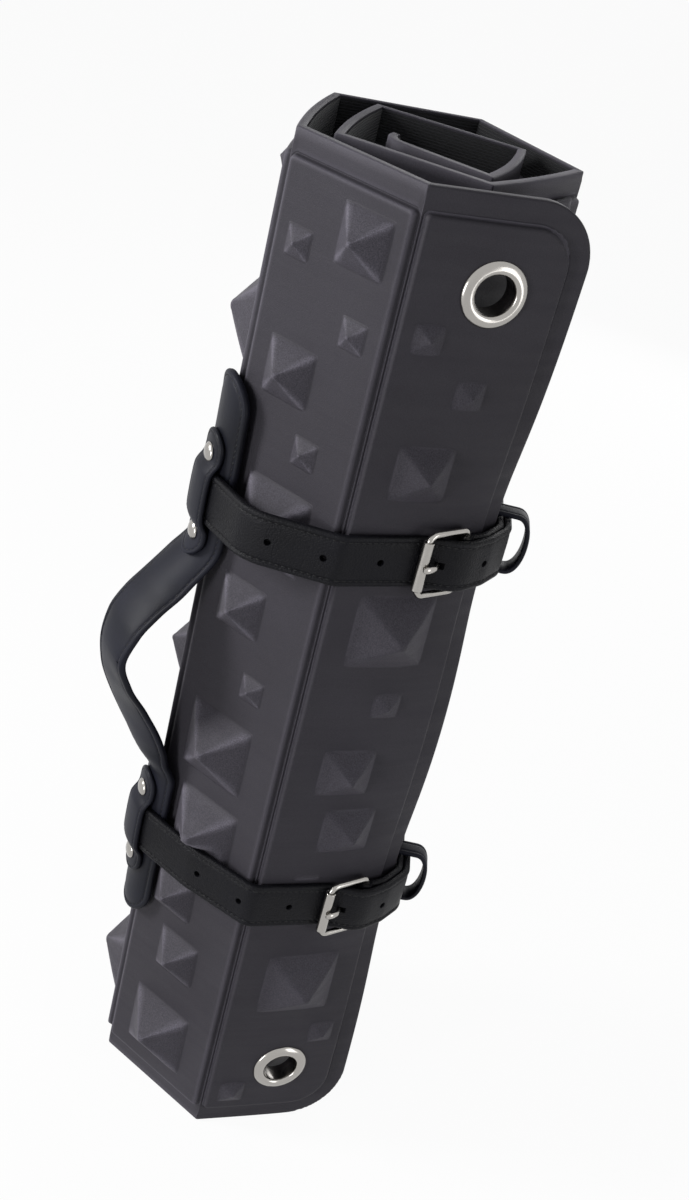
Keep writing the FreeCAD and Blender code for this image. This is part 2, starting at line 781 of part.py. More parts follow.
def strap_room():
    """Room that the straps and the ends of the band press out of the studs beneath them."""
    rooms = []
    half = strap_width / 2 + stud_press_margin
    for place in PLACES.values():
        carrier = Carrier(place)
        room = belt_solid(carrier.round, -strap_gap, strap_thickness + stud_press_margin, -half, half)
        outer = belt_solid(carrier.round[:-1] + [(carrier.roller, 0.0)], 0.0, stud_press_depth, -half, half)
        rooms.append(carrier.slanted(room.fuse(outer)))
    ends = ((BOW[0][0], upper_end_tip), (lower_end_tip, BOW[-1][0]))
    ring = tube(handle_axis + UP * (mat_width / 2), UP, band_outer_radius + stud_press_depth,
                band_bend_radius - strap_gap, mat_width)
    for z_low, z_high in ends:
        under = round_ended(z_low, z_high, band_width + 2 * strap_gap, False, False)
        rooms.append(ring.common(under))
    return rooms


def make_free_panel(rooms):
    base = free_slab(-foam_thickness, 0.0, 0.0, free_length, 0.0, mat_width, True)
    edge = free_length - window_inset
    base = base.common(rounded_window(window_start, edge, 0.0, mat_width, free_corner_radius))
    pad = free_slab(-pad_root, pad_raise, pad_channel, pad_end, pad_border, mat_width - pad_border, False)
    rim = pad_end - window_inset
    window = rounded_window(window_start, rim, pad_border, mat_width - pad_border, pad_corner_radius)
    pad = pad.common(window)
    studs = []
    for along, z, kind in FREE_STUDS:
        foot = free_point(along, z, pad_raise)
        ahead = (free_point(along + 1.0, z, pad_raise) - foot).normalize()
        normal = Vector(ahead.y, -ahead.x, 0)
        studs.append(stud(foot, ahead, normal, kind))
    panel = fused(base, [pad] + studs)
    for hole in eyelet_holes():
        panel = panel.cut(hole)
    for room in rooms:
        panel = panel.cut(room)
    return panel


def make_rolled_panel(index, rooms):
    panel = rolled[index]
    before = free_heading if index == 0 else rolled[index - 1].headings[-1]
    last = index == len(rolled) - 1
    after = panel.headings[-1] if last else rolled[index + 1].headings[0]
    base = prism(panel.strip(-foam_thickness, 0.0, before, after), 0.0, mat_width)
    inner = panel.shortened(pad_channel, pad_border if last else pad_channel)
    pad = prism(inner.strip(-pad_root, pad_raise), pad_border, mat_width - pad_border)
    studs = []
    for along, z, kind in ROLL_STUDS[index]:
        heading = panel.heading_at(along)
        foot = panel.at(along, pad_raise) + UP * z
        studs.append(stud(foot, unit(heading), outward(heading), kind))
    shape = fused(base, [pad] + studs)
    if index < strapped_panels:
        for room in rooms:
            shape = shape.cut(room)
    return shape


def make_lining():
    """The ribbed cloth on the inner side of every panel, one continuous sheet."""
    far = -foam_thickness - lining_gap
    near = far - lining_thickness
    low = lining_setback
    high = mat_width - lining_setback
    pieces = []
    for index, panel in enumerate(rolled):
        before = free_heading if index == 0 else rolled[index - 1].headings[-1]
        last = index == len(rolled) - 1
        after = panel.headings[-1] if last else rolled[index + 1].headings[0]
        pieces.append(prism(panel.strip(near, far, before, after), low, high))
    free = free_slab(near, far, 0.0, free_length, low, high, True)
    radius = free_corner_radius - lining_setback
    free = free.common(rounded_window(window_start, free_length - lining_setback, low, high, radius))
    for hole in eyelet_holes():
        free = free.cut(hole)
    return free.fuse(pieces).removeSplitter()


def save(name, shape):
    """Write a piece without the crumbs that the straps cut loose from the studs."""
    solids = [solid for solid in shape.Solids if solid.Volume > crumb_volume]
    shape = solids[0] if len(solids) == 1 else Part.makeCompound(solids)
    shape.exportStep("parts/" + name + ".step")


rooms = strap_room()
save("foam_panel_01", make_free_panel(rooms))
for index in range(len(rolled)):
    save("foam_panel_%02d" % (index + 2), make_rolled_panel(index, rooms))
save("lining_cloth", make_lining())
for name, z in (("lower", eyelet_from_end), ("upper", mat_width - eyelet_from_end)):
    ring, washer = make_eyelet(z)
    save(name + "_eyelet_ring", ring)
    save(name + "_eyelet_washer", washer)
bow, upper_end, lower_end = make_handle()
save("handle_bow", bow)
save("handle_upper_end", upper_end.cut(rivet_holes(PLACES["upper"])))
save("handle_lower_end", lower_end.cut(rivet_holes(PLACES["lower"])))
for name, place in PLACES.items():
    carrier = Carrier(place)
    save(name + "_strap", make_strap(carrier))
    save(name + "_keeper", make_keeper(carrier))
    frame, roller, prong = make_buckle(carrier)
    save(name + "_buckle_frame", frame)
    save(name + "_buckle_roller", roller)
    save(name + "_buckle_prong", prong)
    save(name + "_handle_strip", make_strip(place))
    save(name + "_rivets", make_rivets(place))
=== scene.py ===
import math
import bpy
import numpy as np
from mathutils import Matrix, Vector


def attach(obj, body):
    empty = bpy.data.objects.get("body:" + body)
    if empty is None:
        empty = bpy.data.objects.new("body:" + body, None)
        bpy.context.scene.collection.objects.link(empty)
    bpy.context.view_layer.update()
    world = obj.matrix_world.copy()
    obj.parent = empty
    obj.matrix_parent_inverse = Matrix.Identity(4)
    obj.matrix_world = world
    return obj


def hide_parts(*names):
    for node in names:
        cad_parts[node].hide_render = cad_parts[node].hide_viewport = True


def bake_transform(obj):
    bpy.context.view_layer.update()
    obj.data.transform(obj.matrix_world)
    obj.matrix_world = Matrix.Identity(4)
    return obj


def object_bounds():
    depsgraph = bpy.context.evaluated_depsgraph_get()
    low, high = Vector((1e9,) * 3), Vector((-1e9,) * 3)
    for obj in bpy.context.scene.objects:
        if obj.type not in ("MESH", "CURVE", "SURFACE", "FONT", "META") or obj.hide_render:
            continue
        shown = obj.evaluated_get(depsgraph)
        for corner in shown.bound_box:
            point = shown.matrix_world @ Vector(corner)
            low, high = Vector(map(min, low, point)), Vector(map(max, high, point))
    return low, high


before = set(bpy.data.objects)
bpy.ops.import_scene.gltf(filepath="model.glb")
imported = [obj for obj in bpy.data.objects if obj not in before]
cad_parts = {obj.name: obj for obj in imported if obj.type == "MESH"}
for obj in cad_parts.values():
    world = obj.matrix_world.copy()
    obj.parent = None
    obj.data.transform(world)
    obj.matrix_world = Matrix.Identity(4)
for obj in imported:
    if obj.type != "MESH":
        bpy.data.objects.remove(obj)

CAD_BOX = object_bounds()
LOW, HIGH = Vector(CAD_BOX[0]), Vector(CAD_BOX[1])

# ---------------------------------------------------------------------------
# The camera stands in front and to the right of the roll, a little above its
# middle, and is turned on its own axis so that the roll leans to the left.
# ---------------------------------------------------------------------------
camera_data = bpy.data.cameras.new("camera")
camera_data.sensor_fit = "VERTICAL"
camera_data.sensor_height = 36.0
camera_data.lens = 49.87
camera_data.clip_start = 0.01
camera = bpy.data.objects.new("camera", camera_data)
bpy.context.scene.collection.objects.link(camera)
camera.location = (0.46547, -0.67000, 0.80941)
camera.rotation_euler = [math.radians(a) for a in (60.060, -12.494, 40.812)]
bpy.context.scene.camera = camera
bpy.context.scene.view_settings.view_transform = "Standard"


# ---------------------------------------------------------------------------
# A white studio: a matt floor that keeps a soft shadow, a white surround, and
# four large diffused lamps, as small goods are lit.
# ---------------------------------------------------------------------------
def linear(colour):
    """An sRGB hex colour as linear RGBA."""
    values = [int(colour[i:i + 2], 16) / 255 for i in (1, 3, 5)]
    return tuple(v / 12.92 if v <= 0.04045 else ((v + 0.055) / 1.055) ** 2.4 for v in values) + (1.0,)


def new_material(name):
    material = bpy.data.materials.new(name)
    material.use_nodes = True
    material.node_tree.nodes.clear()
    return material


def add(material, kind, settings=(), inputs=(), links=()):
    """Adds a node, with its settings, socket values and links as (socket, other node, output)."""
    node = material.node_tree.nodes.new(kind)
    for name, value in dict(settings).items():
        setattr(node, name, value)
    for name, value in dict(inputs).items():
        node.inputs[name].default_value = value
    for name, other, output in links:
        material.node_tree.links.new(other.outputs[output], node.inputs[name])
    return node


def noise(material, scale, detail, roughness=0.5, stretch=None):
    """Noise in object space, with its own scale along each axis where stretch gives one."""
    where, output = add(material, "ShaderNodeTexCoord"), "Object"
    if stretch:
        where = add(material, "ShaderNodeMapping", inputs={"Scale": stretch}, links=[("Vector", where, output)])
        output = 0
    return add(material, "ShaderNodeTexNoise", inputs={"Scale": scale, "Detail": detail, "Roughness": roughness},
               links=[("Vector", where, output)])


def ramp(material, source, low, high, low_place=0.0, high_place=1.0):
    """A colour between two, by a texture's value."""
    node = add(material, "ShaderNodeValToRGB", links=[("Fac", source, "Fac")])
    for element, place, colour in zip(node.color_ramp.elements, (low_place, high_place), (low, high)):
        element.position = place
        element.color = colour
    return node


def remap(material, source, output, span, low, high):
    """A value brought from a span to the range from low to high."""
    return add(material, "ShaderNodeMapRange",
               inputs={"From Min": span[0], "From Max": span[1], "To Min": low, "To Max": high},
               links=[("Value", source, output)])


def bump(material, source, strength, distance, under=None, output="Fac", invert=False):
    """Relief from a texture, over an earlier relief where there is one."""
    links = [("Height", source, output)] + ([("Normal", under, 0)] if under else [])
    return add(material, "ShaderNodeBump", {"invert": invert}, {"Strength": strength, "Distance": distance}, links)


def times(material, first, second, share=None):
    """A colour multiplied by a second (node, output), in full or by the share that a node gives."""
    links = [(6, *first), (7, *second)] + ([(0, share, 0)] if share else [])
    return add(material, "ShaderNodeMix", {"data_type": "RGBA", "blend_type": "MULTIPLY"}, {0: 1.0}, links)


def surface(material, values, links):
    """The surface itself, from set values and linked ones."""
    face = add(material, "ShaderNodeBsdfPrincipled", inputs=values, links=links)
    add(material, "ShaderNodeOutputMaterial", links=[("Surface", face, 0)])


def seen(tree):
    """1 for rays that look at the backdrop, straight or by way of metal, and 0 for those that light it."""
    rays = add(tree, "ShaderNodeLightPath")
    direct = add(tree, "ShaderNodeMath", {"operation": "MAXIMUM"},
                 links=[(0, rays, "Is Camera Ray"), (1, rays, "Is Glossy Ray")])
    return add(tree, "ShaderNodeMath", {"operation": "MAXIMUM"},
               links=[(0, direct, 0), (1, rays, "Is Transmission Ray")])


WHOLE_SPAN = (0.0, 1.0)
NOISE_SPAN = (0.3, 0.7)
FLOOR_REACH = 6.0
FLOOR_WHITE_SHARE = 0.95
WHITE = (1, 1, 1, 1)

floor_paint = new_material("matt_white_floor_paint")
floor_seen = seen(floor_paint)
floor_tone = add(floor_paint, "ShaderNodeMix", {"data_type": "RGBA"},
                 {6: linear("#b4b4b4"), 7: (0.95, 0.95, 0.95, 1)}, [(0, floor_seen, 0)])
floor_matt = add(floor_paint, "ShaderNodeBsdfDiffuse", links=[("Color", floor_tone, 2)])
floor_white = add(floor_paint, "ShaderNodeEmission", inputs={"Color": WHITE, "Strength": 1.0})
floor_share = add(floor_paint, "ShaderNodeMath", {"operation": "MULTIPLY"}, {1: FLOOR_WHITE_SHARE},
                  [(0, floor_seen, 0)])
floor_mix = add(floor_paint, "ShaderNodeMixShader",
                links=[("Fac", floor_share, 0), (1, floor_matt, 0), (2, floor_white, 0)])
add(floor_paint, "ShaderNodeOutputMaterial", links=[("Surface", floor_mix, 0)])

floor_mesh = bpy.data.meshes.new("floor")
floor_mesh.from_pydata([(x * FLOOR_REACH, y * FLOOR_REACH, LOW.z) for x, y in ((-1, -1), (1, -1), (1, 1), (-1, 1))],
                       [], [(0, 1, 2, 3)])
floor = bpy.data.objects.new("floor", floor_mesh)
floor.data.materials.append(floor_paint)
bpy.context.scene.collection.objects.link(floor)

world = bpy.data.worlds.new("studio")
bpy.context.scene.world = world
world.use_nodes = True
world.node_tree.nodes.clear()
sky_soft = add(world, "ShaderNodeBackground", inputs={"Color": linear("#dcdfe4"), "Strength": 0.22})
sky_white = add(world, "ShaderNodeBackground", inputs={"Color": WHITE, "Strength": 1.0})
sky_mix = add(world, "ShaderNodeMixShader",
              links=[("Fac", seen(world), 0), (1, sky_soft, 0), (2, sky_white, 0)])
add(world, "ShaderNodeOutputWorld", links=[("Surface", sky_mix, 0)])


def lamp(name, place, target, width, height, power):
    data = bpy.data.lights.new(name, "AREA")
    data.shape = "RECTANGLE"
    data.size = width
    data.size_y = height
    data.energy = power
    lamp_object = bpy.data.objects.new(name, data)
    bpy.context.scene.collection.objects.link(lamp_object)
    lamp_object.location = place
    lamp_object.rotation_euler = (Vector(target) - Vector(place)).to_track_quat("-Z", "Y").to_euler()


MIDDLE = (LOW + HIGH) / 2
lamp("key_softbox", (-1.15, -1.1, 1.0), MIDDLE, 0.4, 0.8, 25.0)
lamp("low_softbox", (-0.1, -1.6, 0.2), MIDDLE, 0.3, 1.0, 14.0)
lamp("right_softbox", (1.6, 0.1, 0.5), MIDDLE, 0.6, 1.2, 7.0)
lamp("back_softbox", (-0.4, 1.4, 0.8), MIDDLE, 0.8, 1.4, 6.0)


# ---------------------------------------------------------------------------
# The mat: eleven panels moulded in one sheet of black closed-cell EVA foam,
# with a thin fold line between each two. Every panel has a raised pad on its
# outer face with four-sided studs of three sizes moulded on it.
# ---------------------------------------------------------------------------
MM = 0.001
MAT_WIDTH = 610.0
PANEL_PITCH = 82.7
FOAM = 4.6
PAD_RAISE = 3.26
PAD_BORDER = 12.3
PAD_CHANNEL = 1.5
FOLD_1 = np.array([41.3, -51.2])
FREE_HEADING = 236.9
FREE_BORDER = 12.2
FREE_LENGTH = PANEL_PITCH - PAD_CHANNEL + FREE_BORDER
FREE_CORNER = 34.0
PAD_CORNER = 3.0
FREE_PAD_CORNER = 22.0
EYELET_ALONG = 44.9
EYELET_HEIGHTS = {"lower": 47.0, "upper": 563.0}
PRESS_HALF = 19.0
PRESS_SPREAD = 70.0
BEND_SHORTENING = 0.9
FOLD_REACH = 14.0
RUN_STEPS = 60
CURL_STEPS = 30
STUD_STEPS = 10
STRAPPED_RUNS = 5
LEAST_QUAD = 0.02
ROLL = [(180.0, 0.0, 1.0), (125.5, -13.0, 1.04), (51.0, 0.0, 1.0), (-12.0, 0.0, 0.97), (-82.0, -12.0, 1.02),
        (-162.0, 0.0, 1.0), (122.0, -14.0, 1.0), (21.5, 0.0, 1.0), (-57.0, -21.0, 0.9), (-170.0, 0.0, 0.62)]
CURL_RADIUS = 13.0
CURL_TURN = 95.0
STUDS = {"small": (15.0, 5.0, 0.8), "medium": (30.0, 12.5, 1.2), "large": (44.0, 17.0, 2.2)}
PLACES = {
    "upper": {"z": 411.0, "slope": 0.045, "lift": 17.5, "press": 15.8, "press_z": 416.5},
    "lower": {"z": 188.5, "slope": -0.055, "lift": 6.5, "press": 13.2, "press_z": 181.0},
}


def way(heading):
    """Direction of a heading in degrees, in plan."""
    return np.array([math.cos(math.radians(heading)), math.sin(math.radians(heading))])


def left_of(v):
    return np.array([-v[1], v[0]])


class Run:
    """The outer face of one rolled panel in plan, as a fine line of points and headings."""

    def __init__(self, start, heading, turn, length, curl):
        self.u = np.linspace(0, length, RUN_STEPS + 1)
        self.heading = heading + turn * self.u / length
        if curl:
            step = np.arange(1, CURL_STEPS + 1)
            span = CURL_RADIUS * math.radians(CURL_TURN)
            self.u = np.append(self.u, length + span * step / CURL_STEPS)
            self.heading = np.append(self.heading, heading - CURL_TURN * step / CURL_STEPS)
        points = [np.array(start, float)]
        for i in range(1, len(self.u)):
            middle = (self.heading[i] + self.heading[i - 1]) / 2
            points.append(points[-1] + way(middle) * (self.u[i] - self.u[i - 1]))
        self.points = np.array(points)
        self.length = self.u[-1]

    def face(self, u):
        """Point, way along and outward way at each distance along the panel."""
        x = np.interp(u, self.u, self.points[:, 0])
        y = np.interp(u, self.u, self.points[:, 1])
        h = np.radians(np.interp(u, self.u, self.heading))
        ahead = np.stack([np.cos(h), np.sin(h)], -1)
        out = np.stack([-np.sin(h), np.cos(h)], -1)
        return np.stack([x, y], -1), ahead, out


runs = []
spot = FOLD_1
for number, (heading, turn, stretch) in enumerate(ROLL):
    runs.append(Run(spot, heading, turn, PANEL_PITCH * stretch, number == len(ROLL) - 1))
    spot = runs[-1].points[-1]
CORNER_1 = runs[0].points[0]
CORNER_0 = runs[0].points[-1]
FREE_ALONG = -way(FREE_HEADING)
FREE_OUT = left_of(way(FREE_HEADING))


def squeeze_at(z):
    """How deep the two straps press the free edge in at a height."""
    depth = 0.0
    for place in PLACES.values():
        beyond = np.maximum(0.0, np.abs(z - place["press_z"]) - PRESS_HALF)
        depth = depth + place["press"] / (1 + (beyond / PRESS_SPREAD) ** 2)
    return depth


def free_face(u, z):
    """Point, way along and outward way on the free panel."""
    depth = squeeze_at(z)
    share = np.clip(u, 0, None) / FREE_LENGTH
    drop = depth * share ** 3
    slope = 3 * depth / FREE_LENGTH * share ** 2
    along = u - BEND_SHORTENING * slope * drop / 5
    point = CORNER_1 + FREE_ALONG * along[..., None] - FREE_OUT * drop[..., None]
    out = FREE_OUT + FREE_ALONG * slope[..., None]
    out = out / np.linalg.norm(out, axis=-1, keepdims=True)
    return point, np.stack([-out[..., 1], out[..., 0]], -1), out


def fold_shear(before, after):
    """Sideways shift of the offset faces at a fold, per mm of offset."""
    return math.tan(math.radians(((after - before + 180) % 360 - 180) / 2))


def near_fold(distance):
    """1 at a fold, and 0 beyond the reach of its mitre."""
    return np.clip(1 - distance / FOLD_REACH, 0, 1)


def laid(face, z, h, shear):
    """Points at a height off a face, whose back is sheared where a fold is mitred."""
    point, ahead, out = face
    flat = point + out * h[..., None] + ahead * (shear * np.minimum(h, 0.0))[..., None]
    return np.concatenate([flat, z[..., None]], -1)


def rolled_place(number):
    """Function that puts (u, z, height) of one rolled panel in its place."""
    run = runs[number]
    before = FREE_HEADING if number == 0 else runs[number - 1].heading[-1]
    after = run.heading[-1] if number == len(runs) - 1 else runs[number + 1].heading[0]
    head, tail = fold_shear(before, run.heading[0]), fold_shear(run.heading[-1], after)

    def put(u, z, h):
        return laid(run.face(u), z, h, head * near_fold(u) - tail * near_fold(run.length - u))

    return put


def free_place(u, z, h):
    return laid(free_face(u, z), z, h, fold_shear(FREE_HEADING, runs[0].heading[0]) * near_fold(u))


def inside_box(u, z, box, radii):
    """Distance inside a box whose corners are rounded: radii at its low-u and high-u sides."""
    u0, u1, z0, z1 = box
    cu, cz = (u0 + u1) / 2, (z0 + z1) / 2
    radius = np.where(u > cu, radii[1], radii[0])
    qu = np.abs(u - cu) - (u1 - u0) / 2 + radius
    qz = np.abs(z - cz) - (z1 - z0) / 2 + radius
    outside = np.hypot(np.maximum(qu, 0), np.maximum(qz, 0))
    return radius - outside - np.minimum(np.maximum(qu, qz), 0)


PAD_STEPS = [(-3.0, 0.0), (-1.1, 0.0), (-0.7, -0.2), (-0.35, -0.45), (0.0, -0.3), (0.3, 0.5), (0.6, 1.7), (0.95, 2.5),
             (1.4, 2.96), (1.95, 3.18), (2.6, 3.26), (3.6, 3.26)]
RIM = [(0.0, -0.9), (0.15, -0.5), (0.45, -0.2), (0.9, 0.0)]


def spread(values, least=0.3, from_end=None):
    """Sorted values, less those closer than least to the one before, or than from_end to the last."""
    values = np.unique(values)
    from_end = least if from_end is None else from_end
    kept = [values[0]]
    for value in values[1:-1]:
        if value - kept[-1] > least and values[-1] - value > from_end:
            kept.append(value)
    return np.array(kept + [values[-1]])


def steps_between(low, high, edges, coarse):
    """Grid lines: fine where the pad's wall or the rim is, coarse between."""
    lines = {low, high}
    for edge, sense in zip(edges, (1, -1)):
        lines.update(edge + sense * offset for offset, height in PAD_STEPS)
    for offset, height in RIM:
        lines.update((low + offset, high - offset))
    lines = sorted(x for x in lines if low <= x <= high)
    full = [lines[0]]
    for x in lines[1:]:
        gap = x - full[-1]
        parts = max(1, int(math.ceil(gap / coarse)))
        full += [full[-1] + gap * (i + 1) / parts for i in range(parts)]
    return spread(full, 0.12, 0.0)


def mesh_object(name, vertices, faces, material, smooth=True):
    mesh = bpy.data.meshes.new(name)
    mesh.from_pydata(np.asarray(vertices).tolist(), [], faces)
    mesh.validate()
    if smooth:
        mesh.shade_smooth()
    made = bpy.data.objects.new(name, mesh)
    made.data.materials.append(material)
    bpy.context.scene.collection.objects.link(made)
    return made


def merged(parts):
    """Several (vertices, faces) as one."""
    faces, base = [], 0
    for part_points, part_faces in parts:
        faces += [tuple(i + base for i in f) for f in part_faces]
        base += len(part_points)
    return np.concatenate([np.asarray(points) for points, part_faces in parts]), faces


def grid_faces(rows, columns, base=0, flip=False):
    index = np.arange(rows * columns).reshape(rows, columns) + base
    quads = np.stack([index[:-1, :-1], index[1:, :-1], index[1:, 1:], index[:-1, 1:]], -1).reshape(-1, 4)
    return quads[:, ::-1] if flip else quads


def round_corners(u, z, u1, z0, z1, radius):
    """Draws a grid's points in to two rounded corners on its high-u side."""
    for corner_z, side in ((z0 + radius, -1), (z1 - radius, 1)):
        du = u - (u1 - radius)
        dz = (z - corner_z) * side
        far = np.hypot(du, dz)
        outside = (du > 0) & (dz > 0) & (far > radius)
        scale = np.where(outside, radius / np.maximum(far, 1e-6), 1.0)
        u = np.where(outside, u1 - radius + du * scale, u)
        z = np.where(outside, corner_z + side * dz * scale, z)
    return u, z


def slab_mesh(put, outline, corner, pad, pad_corner, press, coarse):
    """A panel with its raised pad: front and back grids cut to a rounded outline and joined round the rim."""
    u0, u1, z0, z1 = outline
    us = steps_between(u0, u1, pad[:2], coarse[0])
    zs = steps_between(z0, z1, pad[2:], coarse[1])
    if corner:
        near = np.arange(0.0, corner + 14.0, 1.2)
        zs = spread(np.concatenate([zs, z0 + near, z1 - near]))
        us = spread(np.concatenate([us, u1 - near]))
    u, z = np.meshgrid(us, zs, indexing="ij")
    if corner:
        u, z = round_corners(u, z, u1, z0, z1, corner)
    fold = u - u0 if corner else np.minimum(u - u0, u1 - u)
    rim = np.interp(inside_box(u, z, outline, (0.0, corner)), *zip(*RIM))
    rim = np.where((fold < 1.0) & (np.minimum(z - z0, z1 - z) > 1.0), 0.0, rim)
    height = press(u, z, rim + np.interp(inside_box(u, z, pad, (PAD_CORNER, pad_corner)), *zip(*PAD_STEPS)))
    vertices = np.concatenate([put(u, z, h).reshape(-1, 3) for h in (height, np.full_like(u, -FOAM))]) * MM
    # quads that the rounded corners have squeezed to nothing are left out
    quads = grid_faces(*u.shape, flip=True)
    a, b, c, d = (np.stack([u.ravel()[quads[:, i]], z.ravel()[quads[:, i]]], -1) for i in range(4))
    ac, bd = c - a, d - b
    quads = quads[np.abs(ac[:, 0] * bd[:, 1] - ac[:, 1] * bd[:, 0]) / 2 > LEAST_QUAD]
    faces = quads.tolist() + (quads[:, ::-1] + u.size).tolist()
    sides = {(q[i], q[(i + 1) % 4]): True for q in quads.tolist() for i in range(4)}
    faces += [(q, p, p + u.size, q + u.size) for p, q in sides if (q, p) not in sides]
    return vertices, faces


def stud_mesh(put, foot_u, foot_z, kind, press):
    """One stud: square rings from a soft skirt up straight flanks to a rounded tip."""
    base, height, tip = STUDS[kind]
    half = base / 2
    profile = [(half + 1.6, -0.35), (half + 1.0, -0.02), (half + 0.45, 0.12), (half, 0.4)]
    profile += [(half + (tip / 2 - half) * s, 0.4 + (height - 0.5) * s ** 0.97) for s in np.linspace(0.08, 0.9, 9)]
    top = tip / 2 + (half - tip / 2) * 0.1
    profile += [(top * reach, height * lift) for reach, lift in ((0.75, 0.945), (0.5, 0.975), (0.25, 0.992))]
    side = np.linspace(-1, 1, STUD_STEPS + 1)
    side = (np.sign(side) * np.abs(side) ** 0.86)[:-1]
    square = [(1.0, s) for s in side] + [(-s, 1.0) for s in side]
    square = np.array(square + [(-1.0, -s) for s in side] + [(s, -1.0) for s in side])
    inward = np.abs(square).min(1)
    vertices, faces = [], []
    around = len(square)
    for ring, (reach, lift) in enumerate(profile):
        # the ridges are rounded by about a millimetre, and the tip more
        corner = min(1.0, 1.1 / reach + 0.03)
        near = np.clip((inward - (1 - 2.2 * corner)) / max(2.2 * corner, 1e-3), 0, 1)
        xy = square * reach * (1 - corner * 0.30 * near ** 2)[:, None]
        u, z = foot_u + xy[:, 0], foot_z + xy[:, 1]
        vertices.append(put(u, z, press(u, z, np.full(around, PAD_RAISE + lift))))
        if ring:
            a = np.arange(around) + around * (ring - 1)
            b = a + around
            faces += np.stack([a, b, np.roll(b, -1), np.roll(a, -1)], -1).tolist()
    u, z = np.array([foot_u]), np.array([foot_z])
    vertices.append(put(u, z, press(u, z, np.array([PAD_RAISE + height]))))
    centre, last = around * len(profile), around * (len(profile) - 1)
    faces += [(last + i, centre, last + (i + 1) % around) for i in range(around)]
    return np.concatenate(vertices) * MM, faces


FREE_STUDS = [
    (17.5, 537.2, "small"), (46.5, 509.8, "small"), (32.7, 465.4, "medium"), (39.6, 371.4, "large"),
    (48.4, 323.2, "small"), (35.4, 277.8, "medium"), (45.4, 236.0, "medium"), (29.4, 195.0, "small"),
    (41.7, 118.3, "large"), (65.8, 74.9, "small"), (16.8, 27.9, "small"),
]
FRONT_STUDS = [
    (25.8, 573.2, "medium"), (64.2, 558.4, "small"), (19.7, 527.7, "small"), (52.9, 494.3, "medium"),
    (32.2, 457.9, "small"), (42.0, 412.4, "large"), (50.6, 357.0, "medium"), (31.0, 312.9, "small"),
    (45.8, 265.5, "large"), (42.2, 208.0, "large"), (53.0, 152.8, "medium"), (40.9, 109.8, "medium"),
    (43.0, 47.7, "large"),
]
LEFT_STUDS = [
    (30.0, 586.0, "small"), (56.0, 549.0, "small"), (40.0, 500.0, "large"), (55.0, 350.0, "small"),
    (38.0, 291.0, "medium"), (52.0, 252.0, "small"), (50.0, 118.0, "small"), (40.0, 50.0, "large"),
    (28.0, 448.0, "small"),
]
BACK_STUDS = [
    (25.0, 560.0, "medium"), (58.0, 520.0, "small"), (40.0, 470.0, "large"), (30.0, 350.0, "medium"),
    (60.0, 315.0, "small"), (42.0, 262.0, "large"), (55.0, 140.0, "medium"), (28.0, 100.0, "small"),
    (45.0, 50.0, "large"),
]
EDGE_STUDS = [
    (30.0, 575.0, "small"), (55.0, 530.0, "medium"), (35.0, 480.0, "medium"), (45.0, 365.0, "large"),
    (25.0, 310.0, "small"), (50.0, 275.0, "medium"), (30.0, 235.0, "small"), (40.0, 125.0, "large"),
    (60.0, 75.0, "small"), (28.0, 40.0, "medium"),
]
RIGHT_STUDS = [
    (22.0, 590.0, "small"), (30.0, 500.0, "medium"), (22.0, 340.0, "medium"), (28.0, 290.0, "small"),
    (24.0, 115.0, "medium"), (30.0, 40.0, "small"),
]
INNER_STUDS = [(41.0, 540.0, "small"), (30.0, 420.0, "small"), (50.0, 300.0, "small"), (35.0, 160.0, "small")]
ROLL_STUDS = [FRONT_STUDS, LEFT_STUDS, BACK_STUDS, EDGE_STUDS, RIGHT_STUDS,
              INNER_STUDS, INNER_STUDS, INNER_STUDS, INNER_STUDS, []]


def belt_angles(guides):
    angles = []
    for (a, ra), (b, rb) in zip(guides, guides[1:]):
        reach = b - a
        angles.append(math.atan2(reach[1], reach[0]) - math.asin((rb - ra) / math.hypot(*reach)))
    return angles


def belt_line(guides, offset, step):
    """Points and headings of a strap's line that is drawn tight round guides on its left."""
    angles = belt_angles(guides)
    points, headings = [], []

    def touch(i, angle):
        return guides[i][0] - np.array([-math.sin(angle), math.cos(angle)]) * (guides[i][1] + offset)

    def put(point, heading):
        if not points or np.hypot(*(point - points[-1])) > 1e-3:
            points.append(point)
            headings.append(heading)

    put(touch(0, angles[0]), angles[0])
    for i in range(1, len(guides)):
        start, end = points[-1], touch(i, angles[i - 1])
        count = max(1, int(np.hypot(*(end - start)) / (2.5 * step)))
        for k in range(1, count + 1):
            put(start + (end - start) * k / count, angles[i - 1])
        if i < len(angles):
            turn = (angles[i] - angles[i - 1] + math.pi) % (2 * math.pi) - math.pi
            count = max(2, int(abs(turn) * max(abs(guides[i][1] + offset), 1.0) / step), int(abs(turn) / 0.09))
            for k in range(1, count + 1):
                angle = angles[i - 1] + turn * k / count
                put(touch(i, angle), angle)
    return np.array(points), np.array(headings)


STRAP_WIDTH = 29.5
STRAP_THICK = 4.0
STRAP_GAP = 0.3
LAYER_GAP = 0.3
BAR_RADIUS = 1.8
RING_RADIUS = BAR_RADIUS + 0.08 + 2.0
ROLLER_RADIUS = 3.5
BAR_SPACING = 25.0
LINING_DEPTH = FOAM + 0.15 + 0.5
EDGE_GRIP = 5.0
HEEL_ARC = 12.0
SWELL_RADIUS = 25.0
CORNER_BEND = 7.0
BAR_ALONG = 66.0
TAIL_PAST_BEND = 26.0
KEEPER_PLACE = 7.0
SWELL_PLACE = 42.0
BAND_AXIS_DEPTH = 20.0
BAND_THICK = 4.0
BAND_RADIUS = 24.0 + BAND_THICK


def mitre(before, after):
    a, b = left_of(way(before)), left_of(way(after))
    return (a + b) / (1 + a @ b)


def corner_guide(before, after, corner):
    return (corner + mitre(before, after) * (PAD_RAISE + STRAP_GAP - CORNER_BEND), CORNER_BEND)


